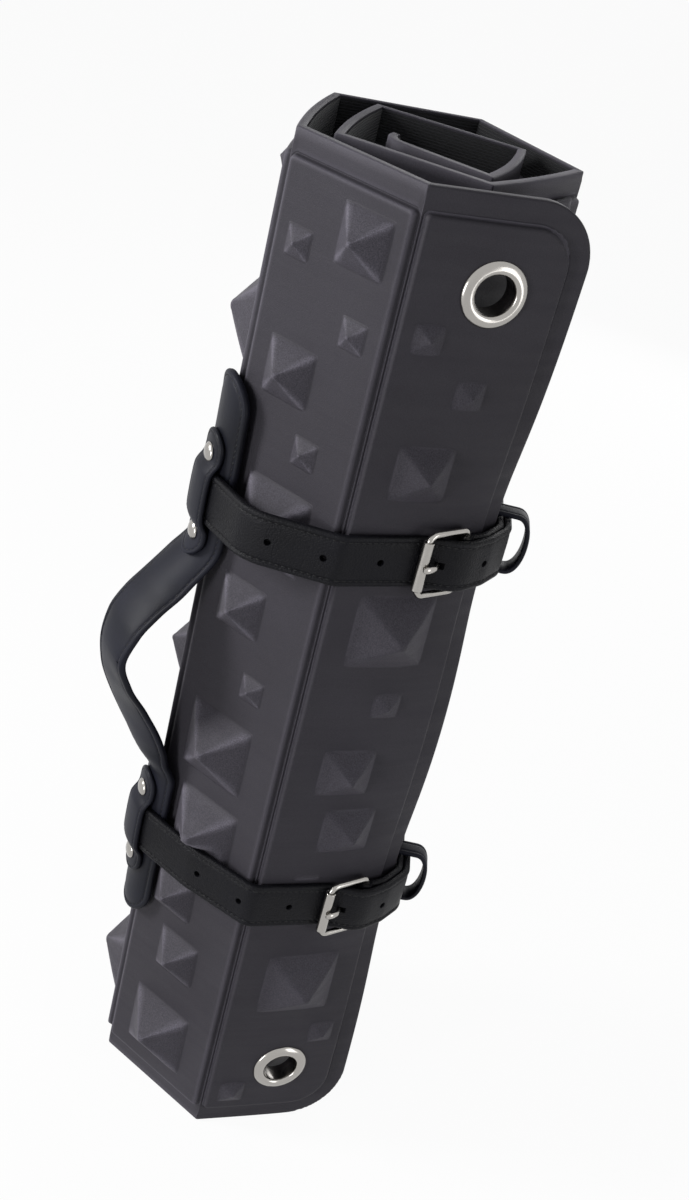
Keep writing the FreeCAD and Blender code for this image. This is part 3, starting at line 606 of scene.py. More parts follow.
def free_spot(u, z, h):
    point, ahead, out = free_face(np.array([u]), np.array([z]))
    return (point + out * h)[0]


HANDLE_OUT = mitre(ROLL[0][0], runs[1].heading[0])
HANDLE_OUT = HANDLE_OUT / np.linalg.norm(HANDLE_OUT)
HANDLE_SIDE = left_of(HANDLE_OUT)


class Carrier:
    """Where one strap and its buckle lie round the roll, in plan."""

    def __init__(self, place):
        z = place["z"]
        self.place = place
        self.bar = free_spot(BAR_ALONG, z, PAD_RAISE + STRAP_GAP + RING_RADIUS)
        roller_height = PAD_RAISE + STRAP_GAP + STRAP_THICK + LAYER_GAP + ROLLER_RADIUS
        toward = free_spot(BAR_ALONG - BAR_SPACING, z, roller_height) - self.bar
        self.along = toward / np.linalg.norm(toward)
        self.out = left_of(self.along)
        self.roller = self.bar + self.along * BAR_SPACING
        grip = EDGE_GRIP
        edge = free_spot(FREE_LENGTH - grip, z, -LINING_DEPTH)
        edge_radius = math.hypot(grip, LINING_DEPTH) + STRAP_GAP
        pad = free_spot(PANEL_PITCH - PAD_CHANNEL - grip, z, PAD_RAISE - grip)
        pad_radius = grip * math.sqrt(2) + STRAP_GAP
        lap = STRAP_THICK + LAYER_GAP
        front, left, hind, back, right = runs[:STRAPPED_RUNS]
        swell, ahead, out = front.face(np.array([SWELL_PLACE]))
        swell = (swell + out * (PAD_RAISE + place["lift"] + STRAP_GAP - SWELL_RADIUS))[0]
        turn_back = corner_guide(back.heading[-1], right.heading[0], right.points[0])
        self.round = [
            (self.bar - self.out * (STRAP_THICK / 2), 0.0),
            (pad, pad_radius),
            (edge, edge_radius),
            turn_back,
            corner_guide(hind.heading[0], back.heading[0], back.points[0]),
            corner_guide(left.heading[-1], hind.heading[0], hind.points[0]),
            (CORNER_0 - HANDLE_OUT * BAND_AXIS_DEPTH, BAND_RADIUS + STRAP_GAP),
            (swell, SWELL_RADIUS),
            corner_guide(FREE_HEADING, ROLL[0][0], CORNER_1),
            (self.roller, -(ROLLER_RADIUS + LAYER_GAP + STRAP_THICK)),
        ]
        over = [(self.bar - self.out * HEEL_ARC, RING_RADIUS + LAYER_GAP + HEEL_ARC), (pad, pad_radius + lap),
                (edge, edge_radius + lap)]
        angle = belt_angles([over[-1], (turn_back[0], turn_back[1] + lap)])[0]
        self.way = np.array([math.cos(angle), math.sin(angle)])
        self.side = -left_of(self.way)
        tip = edge + self.side * (edge_radius + lap) + self.way * TAIL_PAST_BEND
        self.guides = self.round + over + [(tip, 0.0)]
        self.keeper = edge + self.side * edge_radius + self.way * KEEPER_PLACE

    def height(self, x):
        return self.place["z"] + self.place["slope"] * (x - CORNER_0[0])


carriers = {name: Carrier(place) for name, place in PLACES.items()}


def pressed_by(number):
    """The foam gives way under the straps: heights near one are held below its inner face. -1 is the free panel."""
    limits = []
    for carrier in carriers.values():
        points, headings = belt_line(carrier.round, -0.5, 1.0)
        if number < 0:
            u = np.linspace(2.0, FREE_LENGTH, 120)
            base, ahead, out = free_face(u, np.full_like(u, carrier.height(60.0)))
        else:
            u = np.linspace(0.0, runs[number].length, 120)
            base, ahead, out = runs[number].face(u)
        room = np.full(len(u), 99.0)
        a, b = points[:-1], points[1:]
        for k in range(len(u)):
            # where the line straight out from the face meets the strap
            d = b - a
            n = out[k]
            det = n[0] * -d[:, 1] + n[1] * d[:, 0]
            det = np.where(np.abs(det) < 1e-9, 1e-9, det)
            r = a - base[k]
            t = (r[:, 0] * -d[:, 1] + r[:, 1] * d[:, 0]) / det
            s = (n[0] * r[:, 1] - n[1] * r[:, 0]) / det
            hits = t[(s >= 0) & (s <= 1) & (t > -2.0) & (t < 60.0)]
            if len(hits):
                room[k] = hits.min()
        limits.append((u, room, base, carrier))

    def press(u, z, h):
        for us, room, base, carrier in limits:
            x = np.interp(u, us, base[:, 0])
            beside = np.abs(z - carrier.height(x)) - STRAP_WIDTH / 2
            share = np.clip((beside - 0.8) / 3.5, 0, 1)
            share = share * share * (3 - 2 * share)
            limit = np.interp(u, us, room)
            h = np.where(h > 0.5, np.minimum(h, limit) * (1 - share) + h * share, h)
        return h

    return press


# EVA foam: charcoal with a little purple, satin, finely gritted by the mould's blasted faces, with a painted
# highlight along the stud ridges and pad edges
foam = new_material("moulded_eva_foam")
foam_cloud = noise(foam, 9.0, 4.0, 0.55)
foam_grit = noise(foam, 1500.0, 2.0, 0.7)
foam_streak = noise(foam, 1.0, 3.0, stretch=(14.0, 14.0, 160.0))
foam_blasted = add(foam, "ShaderNodeAttribute", {"attribute_name": "blasted_face"})
foam_shape = add(foam, "ShaderNodeNewGeometry")
foam_tint = ramp(foam, foam_cloud, linear("#343237"), linear("#3c3a40"), 0.3, 0.72)
foam_speck = ramp(foam, foam_grit, (0.62, 0.62, 0.62, 1), (1.5, 1.5, 1.52, 1), 0.35, 0.68)
foam_grain = remap(foam, foam_blasted, "Fac", WHOLE_SPAN, 0.2, 0.75)
foam_paler = remap(foam, foam_blasted, "Fac", WHOLE_SPAN, 1.0, 1.45)
# painted highlight: pointiness makes the convex stud ridges and rounded pad edges up to 2.2 times lighter, in place
# of the light lines they catch
foam_ridge_highlight = remap(foam, foam_shape, "Pointiness", (0.503, 0.535), 1.0, 2.2)
foam_colour = times(foam, (foam_tint, "Color"), (foam_speck, "Color"), foam_grain)
foam_colour = times(foam, (foam_colour, 2), (foam_paler, 0))
# the painted highlight on ridges and pad edges is multiplied into the foam colour here
foam_colour = times(foam, (foam_colour, 2), (foam_ridge_highlight, 0))
foam_rough = remap(foam, foam_streak, "Fac", NOISE_SPAN, 0.46, 0.6)
foam_wave = bump(foam, foam_streak, 0.25, 0.0012, bump(foam, foam_grit, 0.35, 0.0006))
surface(foam, {"IOR": 1.45, "Specular IOR Level": 0.16},
        [("Base Color", foam_colour, 2), ("Roughness", foam_rough, 0), ("Normal", foam_wave, 0)])


def build_panel(name, put, length, corner, pad, pad_corner, studs, press, coarse):
    """One panel with its studs. blasted_face is 1 on the studs, whose flanks the mould leaves grittier."""
    parts = [slab_mesh(put, (0.0, length, 0.0, MAT_WIDTH), corner, pad, pad_corner, press, coarse)]
    parts += [stud_mesh(put, u, z, kind, press) for u, z, kind in studs]
    panel = mesh_object(name, *merged(parts), foam)
    blasted = [np.zeros(len(parts[0][0]))]
    blasted += [np.clip((np.arange(len(points)) // (4 * STUD_STEPS) - 2) / 2, 0, 1) for points, faces in parts[1:]]
    panel.data.attributes.new("blasted_face", "FLOAT", "POINT").data.foreach_set("value", np.concatenate(blasted))
    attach(panel, "roll")
    return panel


pad_box = (PAD_CHANNEL, PANEL_PITCH - PAD_CHANNEL, PAD_BORDER, MAT_WIDTH - PAD_BORDER)
free_panel = build_panel("free_panel_foam", free_place, FREE_LENGTH, FREE_CORNER, pad_box, FREE_PAD_CORNER,
                         FREE_STUDS, pressed_by(-1), (4.0, 5.0))
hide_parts("foam_panel_01")
for number, run in enumerate(runs):
    last = number == len(runs) - 1
    pad_box = (PAD_CHANNEL, run.length - (PAD_BORDER if last else PAD_CHANNEL), PAD_BORDER, MAT_WIDTH - PAD_BORDER)
    press = pressed_by(number) if number < STRAPPED_RUNS else (lambda u, z, h: h)
    panel = build_panel("rolled_panel_foam_%02d" % (number + 2), rolled_place(number), run.length, 0.0, pad_box,
                        PAD_CORNER, ROLL_STUDS[number], press, (4.0, 6.0))
    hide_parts("foam_panel_%02d" % (number + 2))


# ---------------------------------------------------------------------------
# The lining: thin black rib-knit polyester, heat-laminated to the inner side
# of the whole mat. Its ribs run across the panels, and it shows at both ends
# of the roll and along the curled inner edge.
# ---------------------------------------------------------------------------
lining_cloth = new_material("rib_knit_polyester")
lining_where = add(lining_cloth, "ShaderNodeTexCoord")
lining_rib = add(lining_cloth, "ShaderNodeTexWave", {"wave_type": "BANDS", "bands_direction": "Z"},
                 {"Scale": 200.0, "Distortion": 0.6, "Detail": 2.0, "Detail Scale": 3.0},
                 [("Vector", lining_where, "Object")])
lining_tint = ramp(lining_cloth, lining_rib, linear("#0c0c0e"), linear("#1c1c20"))
lining_relief = bump(lining_cloth, noise(lining_cloth, 1400.0, 2.0), 0.4, 0.0003,
                     bump(lining_cloth, lining_rib, 0.7, 0.0006))
surface(lining_cloth, {"Roughness": 0.85, "IOR": 1.5, "Specular IOR Level": 0.25, "Sheen Weight": 0.25,
                       "Sheen Roughness": 0.5},
        [("Base Color", lining_tint, "Color"), ("Normal", lining_relief, 0)])

LINING_SETBACK = 1.0
EYELET_ROOM = 12.6
Z_LOW, Z_HIGH = LINING_SETBACK, MAT_WIDTH - LINING_SETBACK
lining_parts, lining_length = [], 0.0
puts = [(free_place, FREE_LENGTH - LINING_SETBACK, FREE_CORNER)]
puts += [(rolled_place(number), run.length, 0.0) for number, run in enumerate(runs)]
for put, length, corner in puts:
    us = np.linspace(0, length, 40)
    zs = np.linspace(Z_LOW, Z_HIGH, 60)
    if corner:
        # finer lines round the corners and the two eyelets
        near = np.concatenate([np.arange(0, corner, 1.5), np.arange(corner, 66, 2.0)])
        zs = np.unique(np.concatenate([Z_LOW + near, zs[10:-10], Z_HIGH - near]))
        us = np.unique(np.concatenate([us, np.arange(30.0, 60.0, 2.0)]))
    u, z = np.meshgrid(us, zs, indexing="ij")
    quads = grid_faces(*u.shape)
    if corner:
        u, z = round_corners(u, z, length, Z_LOW, Z_HIGH, corner)
        middle_u, middle_z = u.ravel()[quads].mean(1), z.ravel()[quads].mean(1)
        far = [np.hypot(middle_u - EYELET_ALONG, middle_z - at) for at in EYELET_HEIGHTS.values()]
        quads = quads[np.minimum(*far) > EYELET_ROOM]
    lining_parts.append((put(u, z, np.full_like(u, -LINING_DEPTH + 0.1)).reshape(-1, 3) * MM, quads.tolist()))
    lining_length += length
lining = mesh_object("lining_rib_cloth", *merged(lining_parts), lining_cloth)
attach(lining, "roll")
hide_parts("lining_cloth")


# ---------------------------------------------------------------------------
# Two eyelets through the free panel: pressed from brass sheet, nickel plated
# and polished. The face ring is rolled over and clenched to a washer behind.
# ---------------------------------------------------------------------------
nickel = new_material("polished_nickel_plate")
nickel_rough = remap(nickel, noise(nickel, 220.0, 5.0, 0.6), "Fac", NOISE_SPAN, 0.14, 0.26)
nickel_scratch = bump(nickel, noise(nickel, 1.0, 2.0, stretch=(2500.0, 2500.0, 120.0)), 0.06, 0.0001)
surface(nickel, {"Base Color": linear("#a5a29e"), "Metallic": 1.0},
        [("Roughness", nickel_rough, 0), ("Normal", nickel_scratch, 0)])


def ring_faces(count, size, closed=True):
    """Quads between each two of count rings of points, and back to the first where they close."""
    return [(i * size + k, i * size + (k + 1) % size, j * size + (k + 1) % size, j * size + k)
            for i in range(count if closed else count - 1) for j in [(i + 1) % count] for k in range(size)]


def lathe_mesh(foot, axis, profile, around):
    """A closed profile of (radius, height) turned about an axis through foot."""
    axis = Vector(axis).normalized()
    x_way = axis.orthogonal().normalized()
    y_way = axis.cross(x_way)
    vertices = []
    for angle in (2 * math.pi * i / around for i in range(around)):
        ray = x_way * math.cos(angle) + y_way * math.sin(angle)
        vertices += [(Vector(foot) + ray * radius + axis * height) * MM for radius, height in profile]
    return vertices, [face[:1] + face[:0:-1] for face in ring_faces(around, len(profile))]


def lathe(name, foot, axis, profile, material, around=64):
    made = mesh_object(name, *lathe_mesh(foot, axis, profile, around), material)
    made.data.set_sharp_from_angle(angle=math.radians(40))
    return made


def cut_out(piece, cutters):
    """Cuts closed shapes out of a piece and leaves no modifier on it."""
    for cutter in cutters:
        hole = piece.modifiers.new("hole", "BOOLEAN")
        hole.operation = "DIFFERENCE"
        hole.solver = "EXACT"
        hole.object = cutter
    graph = bpy.context.evaluated_depsgraph_get()
    cut = bpy.data.meshes.new_from_object(piece.evaluated_get(graph))
    piece.modifiers.clear()
    piece.data = cut
    for cutter in cutters:
        bpy.data.objects.remove(cutter)


EYELET_HOLE = 11.2
EYELET_RING = [(10.4, -6.9), (10.4, 3.6), (10.55, 4.5), (11.1, 5.25), (12.1, 5.68), (13.3, 5.78), (14.6, 5.5),
               (15.8, 4.95), (16.7, 4.25), (17.15, 3.65), (17.2, 3.4), (16.9, 3.3), (13.0, 3.35), (11.4, 3.4),
               (11.4, -6.9)]
EYELET_WASHER = [(11.5, -6.45), (11.5, -5.65), (15.5, -5.6), (15.7, -5.9), (15.6, -6.4), (15.3, -6.6), (12.0, -6.6)]
for name, z in EYELET_HEIGHTS.items():
    point, ahead, out = free_face(np.array([EYELET_ALONG]), np.array([z]))
    foot = (point[0][0], point[0][1], z)
    axis = (out[0][0], out[0][1], 0)
    for part, profile in (("ring", EYELET_RING), ("washer", EYELET_WASHER)):
        eyelet = lathe("%s_eyelet_%s_nickel" % (name, part), foot, axis, profile, nickel, 96)
        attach(eyelet, "roll")
        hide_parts("%s_eyelet_%s" % (name, part))
    # the hole that the eyelet lines
    cutter = lathe("cutter", foot, axis, [(0.001, -30), (EYELET_HOLE, -30), (EYELET_HOLE, 30), (0.001, 30)],
                   nickel)
    cut_out(free_panel, [cutter])


# ---------------------------------------------------------------------------
# The two straps: two plies of black leather, 30 mm wide, glued and sewn near
# both edges with black thread, with the edges turned and rolled. The face is
# embossed with a fine pebble grain. Round holes are punched along the middle.
# ---------------------------------------------------------------------------
def leather(name, low, high, grain, depth, rough):
    """Finished leather: pebble grain over fine pores, paler where it is rubbed, and a thin finish coat."""
    made = new_material(name)
    where = add(made, "ShaderNodeTexCoord")
    pebble = add(made, "ShaderNodeTexVoronoi", {"feature": "SMOOTH_F1"},
                 {"Scale": 1000.0 / grain, "Smoothness": 0.35, "Randomness": 1.0}, [("Vector", where, "Object")])
    patches = noise(made, 28.0, 4.0)
    tint = ramp(made, patches, linear(low), linear(high), 0.3, 0.75)
    shine = remap(made, patches, "Fac", NOISE_SPAN, rough - 0.06, rough + 0.08)
    fine = bump(made, noise(made, 1300.0, 3.0, 0.6), 0.25, 0.0002)
    coarse = bump(made, pebble, depth, 0.0005, fine, "Distance", True)
    surface(made, {"IOR": 1.45, "Specular IOR Level": 0.13, "Coat Weight": 0.02, "Coat Roughness": 0.35},
            [("Base Color", tint, "Color"), ("Roughness", shine, 0), ("Normal", coarse, 0)])
    return made


pebbled_leather = leather("pebble_grain_cowhide", "#0a0a0d", "#111116", 0.9, 0.6, 0.44)
smooth_leather = leather("smooth_finished_cowhide", "#14151b", "#1f202a", 0.6, 0.10, 0.46)

# waxed thread: it lies in the sewn channel and catches little light
thread = new_material("waxed_black_thread")
surface(thread, {"Base Color": linear("#0b0b0e"), "Roughness": 0.6, "IOR": 1.5, "Specular IOR Level": 0.3},
        [("Normal", bump(thread, noise(thread, 2600.0, 2.0), 0.5, 0.0002), 0)])

# Height of sewn leather's face against the distance in from its edge: rolled edge, bead, sewn channel, field
SEWN = [(0.0, -1.6), (0.15, -1.0), (0.5, -0.42), (1.0, -0.1), (1.7, 0.08), (2.35, 0.02), (2.85, -0.25),
        (3.15, -0.62), (3.4, -0.75), (3.65, -0.64), (4.05, -0.38), (5.0, -0.2), (7.0, -0.08), (9.5, 0.0)]
BACK = [(0.0, 1.2), (0.12, 0.8), (0.4, 0.35), (0.9, 0.08), (1.5, 0.0)]


def rings_to(half, steps):
    """Distances in from the edge for the rings of a stadium-shaped piece of that half width."""
    rings = [e for e, h in steps if e < half - 1.5]
    last = rings[-1]
    count = max(1, int((half - 0.8 - last) / 2.5))
    return rings + [last + (half - 0.8 - last) * (i + 1) / count for i in range(count)]


def outline(us, r, ends, theta):
    """Closed line round a strip at half width r, over both rounded ends."""
    u = np.concatenate([us, us[-1] + ends[1] * r * np.cos(theta), us[::-1], us[0] - ends[0] * r * np.cos(theta)])
    s = np.concatenate([np.full(len(us), r), r * np.sin(theta), np.full(len(us), -r), -r * np.sin(theta)])
    return u, s


def stadium(put, us, half, ends, thick, steps, crown=0.0):
    """A strip with rounded ends as rings that follow its outline. ends gives each end's length per half width."""
    us = np.asarray(us, float)
    theta = np.linspace(math.pi / 2, -math.pi / 2, 26)[1:-1]
    n, m = len(us), len(theta)
    size = 2 * (n + m)
    rings, faces, first, final = [], [], {}, {}
    for side, table in (("front", steps), ("back", BACK)):
        turn = -1 if side == "front" else 1
        first[side] = len(rings) * size
        for e in rings_to(half, table):
            u, s = outline(us, half - e, ends, theta)
            h = np.interp(e, *zip(*table))
            if side == "front":
                h = thick + h + crown * (1 - ((half - e) / half) ** 2)
            b = np.arange(size) + len(rings) * size
            if b[0] > first[side]:
                a = b - size
                faces += np.stack([a, np.roll(a, -1), np.roll(b, -1), b], -1)[:, ::turn].tolist()
            rings.append(put(u, s, np.full_like(u, h)))
        final[side] = (len(rings) - 1) * size
    for side, turn in (("front", -1), ("back", 1)):
        last = final[side]
        faces += [(last + i, last + i + 1, last + 2 * n + m - 2 - i, last + 2 * n + m - 1 - i)[::turn]
                  for i in range(n - 1)]
        faces.append(tuple(range(last + n - 1, last + n + m + 1))[::turn])
        faces.append((*range(last + 2 * n + m - 1, last + size), last)[::turn])
    a, b = (np.arange(size) + first[side] for side in ("front", "back"))
    faces += np.stack([a, b, np.roll(b, -1), np.roll(a, -1)], -1).tolist()
    return np.concatenate(rings) * MM, faces


def stitches(put, us, half, ends, height, inset=3.4, pitch=3.4, stitch=2.5, radius=0.42):
    """Thread stitches as small rounded bars that follow the outline at an inset."""
    flat = np.stack(outline(us, half - inset, ends, np.linspace(math.pi / 2, -math.pi / 2, 30)), -1)
    flat = np.concatenate([flat, flat[:1]])
    run = np.concatenate([[0], np.cumsum(np.hypot(*np.diff(flat, axis=0).T))])
    starts = np.arange(0, run[-1] - stitch, pitch)
    girth = np.array([0.25, 0.85, 1.0, 0.85, 0.25]) * radius
    sink = np.array([-0.45, -0.08, 0.0, -0.08, -0.45])
    at = starts[:, None] + np.linspace(0, 1, len(girth))[None, :] * stitch
    cu, cs = (np.interp(at, run, flat[:, i]) for i in (0, 1))
    du, ds = (np.interp(at + 0.2, run, flat[:, i]) - c for i, c in ((0, cu), (1, cs)))
    size = np.hypot(du, ds) + 1e-9
    nu, ns = -ds / size, du / size
    sides = 6
    rows = []
    for angle in (2 * math.pi * k / sides for k in range(sides)):
        side, lift = math.cos(angle), math.sin(angle)
        rows.append(put(cu + nu * girth * side, cs + ns * girth * side, height + sink + girth * lift + 0 * cu))
    bar = ring_faces(len(girth), sides, False)
    bar += [tuple(range(sides))[::-1], tuple((len(girth) - 1) * sides + k for k in range(sides))]
    faces = [tuple(i * len(girth) * sides + k for k in face) for i in range(len(starts)) for face in bar]
    return np.stack(rows, 2).reshape(-1, 3) * MM, faces


def leather_piece(name, parts, material, body, nodes):
    piece = mesh_object(name, *merged(parts), material)
    piece.data.set_sharp_from_angle(angle=math.radians(55))
    if body:
        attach(piece, body)
    if nodes:
        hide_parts(*nodes)
    return piece


def line_run(points):
    """Distance of each point along a line."""
    return np.concatenate([[0], np.cumsum(np.hypot(*np.diff(points, axis=0).T))])


def follow(points, headings, carrier):
    """Function that lays (distance, across, height) along a strap's line."""
    run = line_run(points)
    angles = np.unwrap(headings)

    def put(u, s, h):
        over = np.clip(u, run[0], run[-1])
        x, y = np.interp(over, run, points[:, 0]), np.interp(over, run, points[:, 1])
        a = np.interp(over, run, angles)
        x, y = x + np.cos(a) * (u - over), y + np.sin(a) * (u - over)
        x, y = x + np.sin(a) * h, y - np.cos(a) * h
        return np.stack([x, y, carrier.height(x) + s], -1)

    return put, run


def box_cutter(centre, along, across, sizes):
    """A closed box for cutting, centred at a point, in mm."""
    vertices = []
    for c in (-1, 1):
        for a, b in ((-1, -1), (1, -1), (1, 1), (-1, 1)):
            xy = np.array(centre[:2]) + along * (a * sizes[0] / 2) + across * (b * sizes[1] / 2)
            vertices.append((xy[0] * MM, xy[1] * MM, (centre[2] + c * sizes[2] / 2) * MM))
    faces = [(3, 2, 1, 0), (4, 5, 6, 7), (0, 1, 5, 4), (1, 2, 6, 5), (2, 3, 7, 6), (3, 0, 4, 7)]
    return mesh_object("cutter", vertices, faces, thread, False)


PUNCH_RADIUS = 2.2
PUNCH_PITCH = 30.0
PRONG_HOLE = 8.0
PUNCHES = (-3, -2, -1, 1)
PUNCH_DEPTH, PUNCH_FLARE = 2.6, 0.35
SLOT_SIZES = (4.4, 14.0, 3.9)
LINE_STEP = 1.3
HALF_STRAP = STRAP_WIDTH / 2
EAR_SLIT = 2.6
punch = [(0.001, -PUNCH_DEPTH), (PUNCH_RADIUS - PUNCH_FLARE, -PUNCH_DEPTH), (PUNCH_RADIUS - PUNCH_FLARE, 1.7),
         (PUNCH_RADIUS, PUNCH_DEPTH), (0.001, PUNCH_DEPTH)]
for name, carrier in carriers.items():
    put, run = follow(*belt_line(carrier.guides, 0.0, LINE_STEP), carrier)
    us = spread(np.concatenate([[0.9], run[(run > 1.8) & (run < run[-1] - 15.5)], [run[-1] - 14.75]]), 0.5)
    strap = leather_piece(name + "_strap_leather", [stadium(put, us, HALF_STRAP, (0.06, 1.0), STRAP_THICK, SEWN)],
                          pebbled_leather, "roll", [name + "_strap"])
    # the strap's end is skived, and folded round the heel bar in two ears beside the prong
    lift = carrier.height(carrier.bar[0])
    width = HALF_STRAP - EAR_SLIT
    profile = [(BAR_RADIUS + 0.1, -width / 2), (RING_RADIUS, -width / 2), (RING_RADIUS, width / 2),
               (BAR_RADIUS + 0.1, width / 2)]
    ears = [lathe("ear", (*carrier.bar, lift + side * (HALF_STRAP + EAR_SLIT) / 2), (0, 0, 1), profile,
                  pebbled_leather, 40) for side in (-1, 1)]
    # punched holes and the hole that the prong goes through, along the middle of the strap's thickness
    points, headings = belt_line(carrier.guides, STRAP_THICK / 2, LINE_STEP)
    middle_run = line_run(points)
    prong_place = line_run(belt_line(carrier.round, STRAP_THICK / 2, LINE_STEP)[0])[-1] + PRONG_HOLE
    cutters = []
    for at in (prong_place + count * PUNCH_PITCH for count in PUNCHES):
        x, y = (np.interp(at, middle_run, points[:, i]) for i in (0, 1))
        a = np.interp(at, middle_run, np.unwrap(headings))
        outward = (math.sin(a), -math.cos(a), 0)
        cutters.append(lathe("cutter", (x, y, carrier.height(x)), outward, punch, thread, 28))
    slot = carrier.bar + carrier.along * (BAR_SPACING - PRONG_HOLE - 1.6)
    cutters.append(box_cutter((*slot, lift), carrier.along, carrier.out, SLOT_SIZES))
    cut_out(strap, cutters)
    strap.data.set_sharp_from_angle(angle=math.radians(55))
    strap.data.materials.clear()
    strap.data.materials.append(pebbled_leather)
    for ear in ears:
        ear.name = name + "_chape_ear"
        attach(ear, "roll")
    leather_piece(name + "_strap_thread", [stitches(put, us, HALF_STRAP, (0.06, 1.0), STRAP_THICK - 0.5)], thread,
                  "roll", [])


# ---------------------------------------------------------------------------
# The buckles: a bent steel wire frame, a roller of rolled sheet on its front
# bar and a flattened prong that is curled round the heel bar, all polished
# and nickel plated.
# ---------------------------------------------------------------------------
def tube_mesh(path, radii, closed, sides, out_way=(0, 0, 1), flat=1.0):
    """A tube along a path of points with a radius at each; flat squeezes its section across out_way."""
    count = len(path)
    vertices = []
    reference = Vector(out_way)
    for i, (point, r) in enumerate(zip(path, radii)):
        before = path[i - 1] if closed or i else point
        after = path[(i + 1) % count] if closed or i < count - 1 else point
        ahead = (after - before).normalized()
        x_way = (reference - ahead * reference.dot(ahead)).normalized()
        y_way = ahead.cross(x_way)
        for angle in (2 * math.pi * k / sides for k in range(sides)):
            vertices.append((point + x_way * (math.cos(angle) * r) + y_way * (math.sin(angle) * r * flat)) * MM)
    faces = ring_faces(count, sides, closed)
    if not closed:
        faces += [tuple(range(sides))[::-1], tuple((count - 1) * sides + k for k in range(sides))]
    return vertices, faces


def hardware(name, parts, body, node):
    piece = mesh_object(name, *merged(parts), nickel)
    piece.data.set_sharp_from_angle(angle=math.radians(50))
    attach(piece, body)
    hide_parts(node)


def arc(centre, a_way, b_way, radius, start, stop, count):
    return [centre + a_way * (radius * math.cos(t)) + b_way * (radius * math.sin(t))
            for t in np.radians(np.linspace(start, stop, count))]


ARM_GAP = 1.6
FRONT_CORNER, HEEL_CORNER = 4.6, 3.0
ROLLER_PLAY = 0.7
ROLLER_SHEET = 0.4
UPRIGHT = Vector((0, 0, 1))
EYE = [(BAR_RADIUS + 0.1, -1.6), (3.1, -1.6), (3.25, -1.2), (3.25, 1.2), (3.1, 1.6), (BAR_RADIUS + 0.1, 1.6)]
wall = ROLLER_RADIUS - ROLLER_SHEET
rest = wall + 0.2 + 1.2
SHANK = [(0.4, -2.6), (3.0, -2.2), (7.0, -2.6), (11.0, -3.6), (13.6, -3.6), (15.4, -1.2), (17.4, 2.3),
         (20.4, 4.2), (24.0, rest), (26.3, rest - 0.1), (27.6, rest - 0.5)]
SHANK_RADII = [1.5, 1.55, 1.6, 1.65, 1.7, 1.75, 1.9, 2.05, 2.05, 1.9, 0.9]
reach = HALF_STRAP + ARM_GAP + BAR_RADIUS
end = reach - HEEL_CORNER - ROLLER_PLAY
shell = [(BAR_RADIUS + 0.1, -end + 0.3), (2.3, -end), (wall - 0.35, -end), (wall, -end + 0.4),
         (wall, end - 0.4), (wall - 0.35, end), (2.3, end), (BAR_RADIUS + 0.1, end - 0.3)]
for name, carrier in carriers.items():
    heel = Vector((*carrier.bar, carrier.height(carrier.bar[0])))
    along, out = Vector((*carrier.along, 0)), Vector((*carrier.out, 0))
    front = heel + along * BAR_SPACING
    path = []
    for bar, r, ahead, side in ((front, FRONT_CORNER, 1, 1), (front, FRONT_CORNER, 1, -1),
                                (heel, HEEL_CORNER, -1, -1), (heel, HEEL_CORNER, -1, 1)):
        centre = bar - along * (ahead * r) + UPRIGHT * (side * (reach - r))
        ways = (UPRIGHT * side, along * ahead)
        path += arc(centre, *(ways if ahead == side else ways[::-1]), r, 0, 90, 9)
    hardware(name + "_buckle_wire", [tube_mesh(path, [BAR_RADIUS] * len(path), True, 20, out)],
             name + "_buckle", name + "_buckle_frame")
    roller = lathe(name + "_roller_tube", front, (0, 0, 1), shell, nickel, 48)
    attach(roller, name + "_roller")
    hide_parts(name + "_buckle_roller")
    line = [heel + along * a + out * b for a, b in SHANK]
    hardware(name + "_prong_bar", [tube_mesh(line, SHANK_RADII, False, 16, flat=0.68),
                                   lathe_mesh(heel, (0, 0, 1), EYE, 32)], name + "_prong", name + "_buckle_prong")


# ---------------------------------------------------------------------------
# The keepers: loose loops of one thickness of leather that hold the strap's
# tail down. They are closed behind with a sewn overlap and stand off the
# strap where it bends away.
# ---------------------------------------------------------------------------
KEEPER_RISE = HALF_STRAP + 1.0
KEEPER_NEAR, KEEPER_FAR, KEEPER_BULGE = -0.6, 11.8, 7.5
# section across the loop: rounded edges and a sewn channel near each
KEEPER_SECTION = [(0.25, 0.0), (0.0, 0.3), (0.0, 1.6), (0.25, 2.15), (0.8, 2.42), (1.5, 2.5), (2.1, 2.35),
                  (2.35, 2.1), (2.6, 2.35), (4.0, 2.48), (6.0, 2.5), (8.0, 2.48), (9.4, 2.35), (9.65, 2.1),
                  (9.9, 2.35), (10.5, 2.5), (11.2, 2.42), (11.75, 2.15), (12.0, 1.6), (12.0, 0.3), (11.75, 0.0)]
theta = np.radians(np.linspace(-90, 90, 40))
bulge = np.stack([KEEPER_FAR - 1.0 + KEEPER_BULGE * np.cos(theta) ** 0.8, KEEPER_RISE * np.sin(theta)], -1)
flat = [[KEEPER_NEAR + a, side * (KEEPER_RISE - b)] for side, corner in (
    (1, ((1.5, 0.0), (0.4, 0.4), (0.0, 1.5), (0.0, KEEPER_RISE))), (-1, ((0.0, 1.5), (0.4, 0.4), (1.5, 0.0))))
        for a, b in corner]
loop = np.concatenate([bulge, flat])
ahead = np.roll(loop, -1, 0) - np.roll(loop, 1, 0)
ahead /= np.linalg.norm(ahead, axis=1, keepdims=True)
normal = np.stack([ahead[:, 1], -ahead[:, 0]], -1)
for name, carrier in carriers.items():
    z = carrier.height(carrier.keeper[0] + carrier.way[0] * 6.0)
    vertices = []
    for (a, b), (na, nb) in zip(loop, normal):
        for w, t in KEEPER_SECTION:
            xy = carrier.keeper + carrier.side * (a + na * t) + carrier.way * w
            vertices.append((xy[0], xy[1], z + b + nb * t))
    leather_piece(name + "_keeper_loop", [(np.array(vertices) * MM, ring_faces(len(loop), len(KEEPER_SECTION)))],
                  smooth_leather, name + "_keeper", [name + "_keeper"])


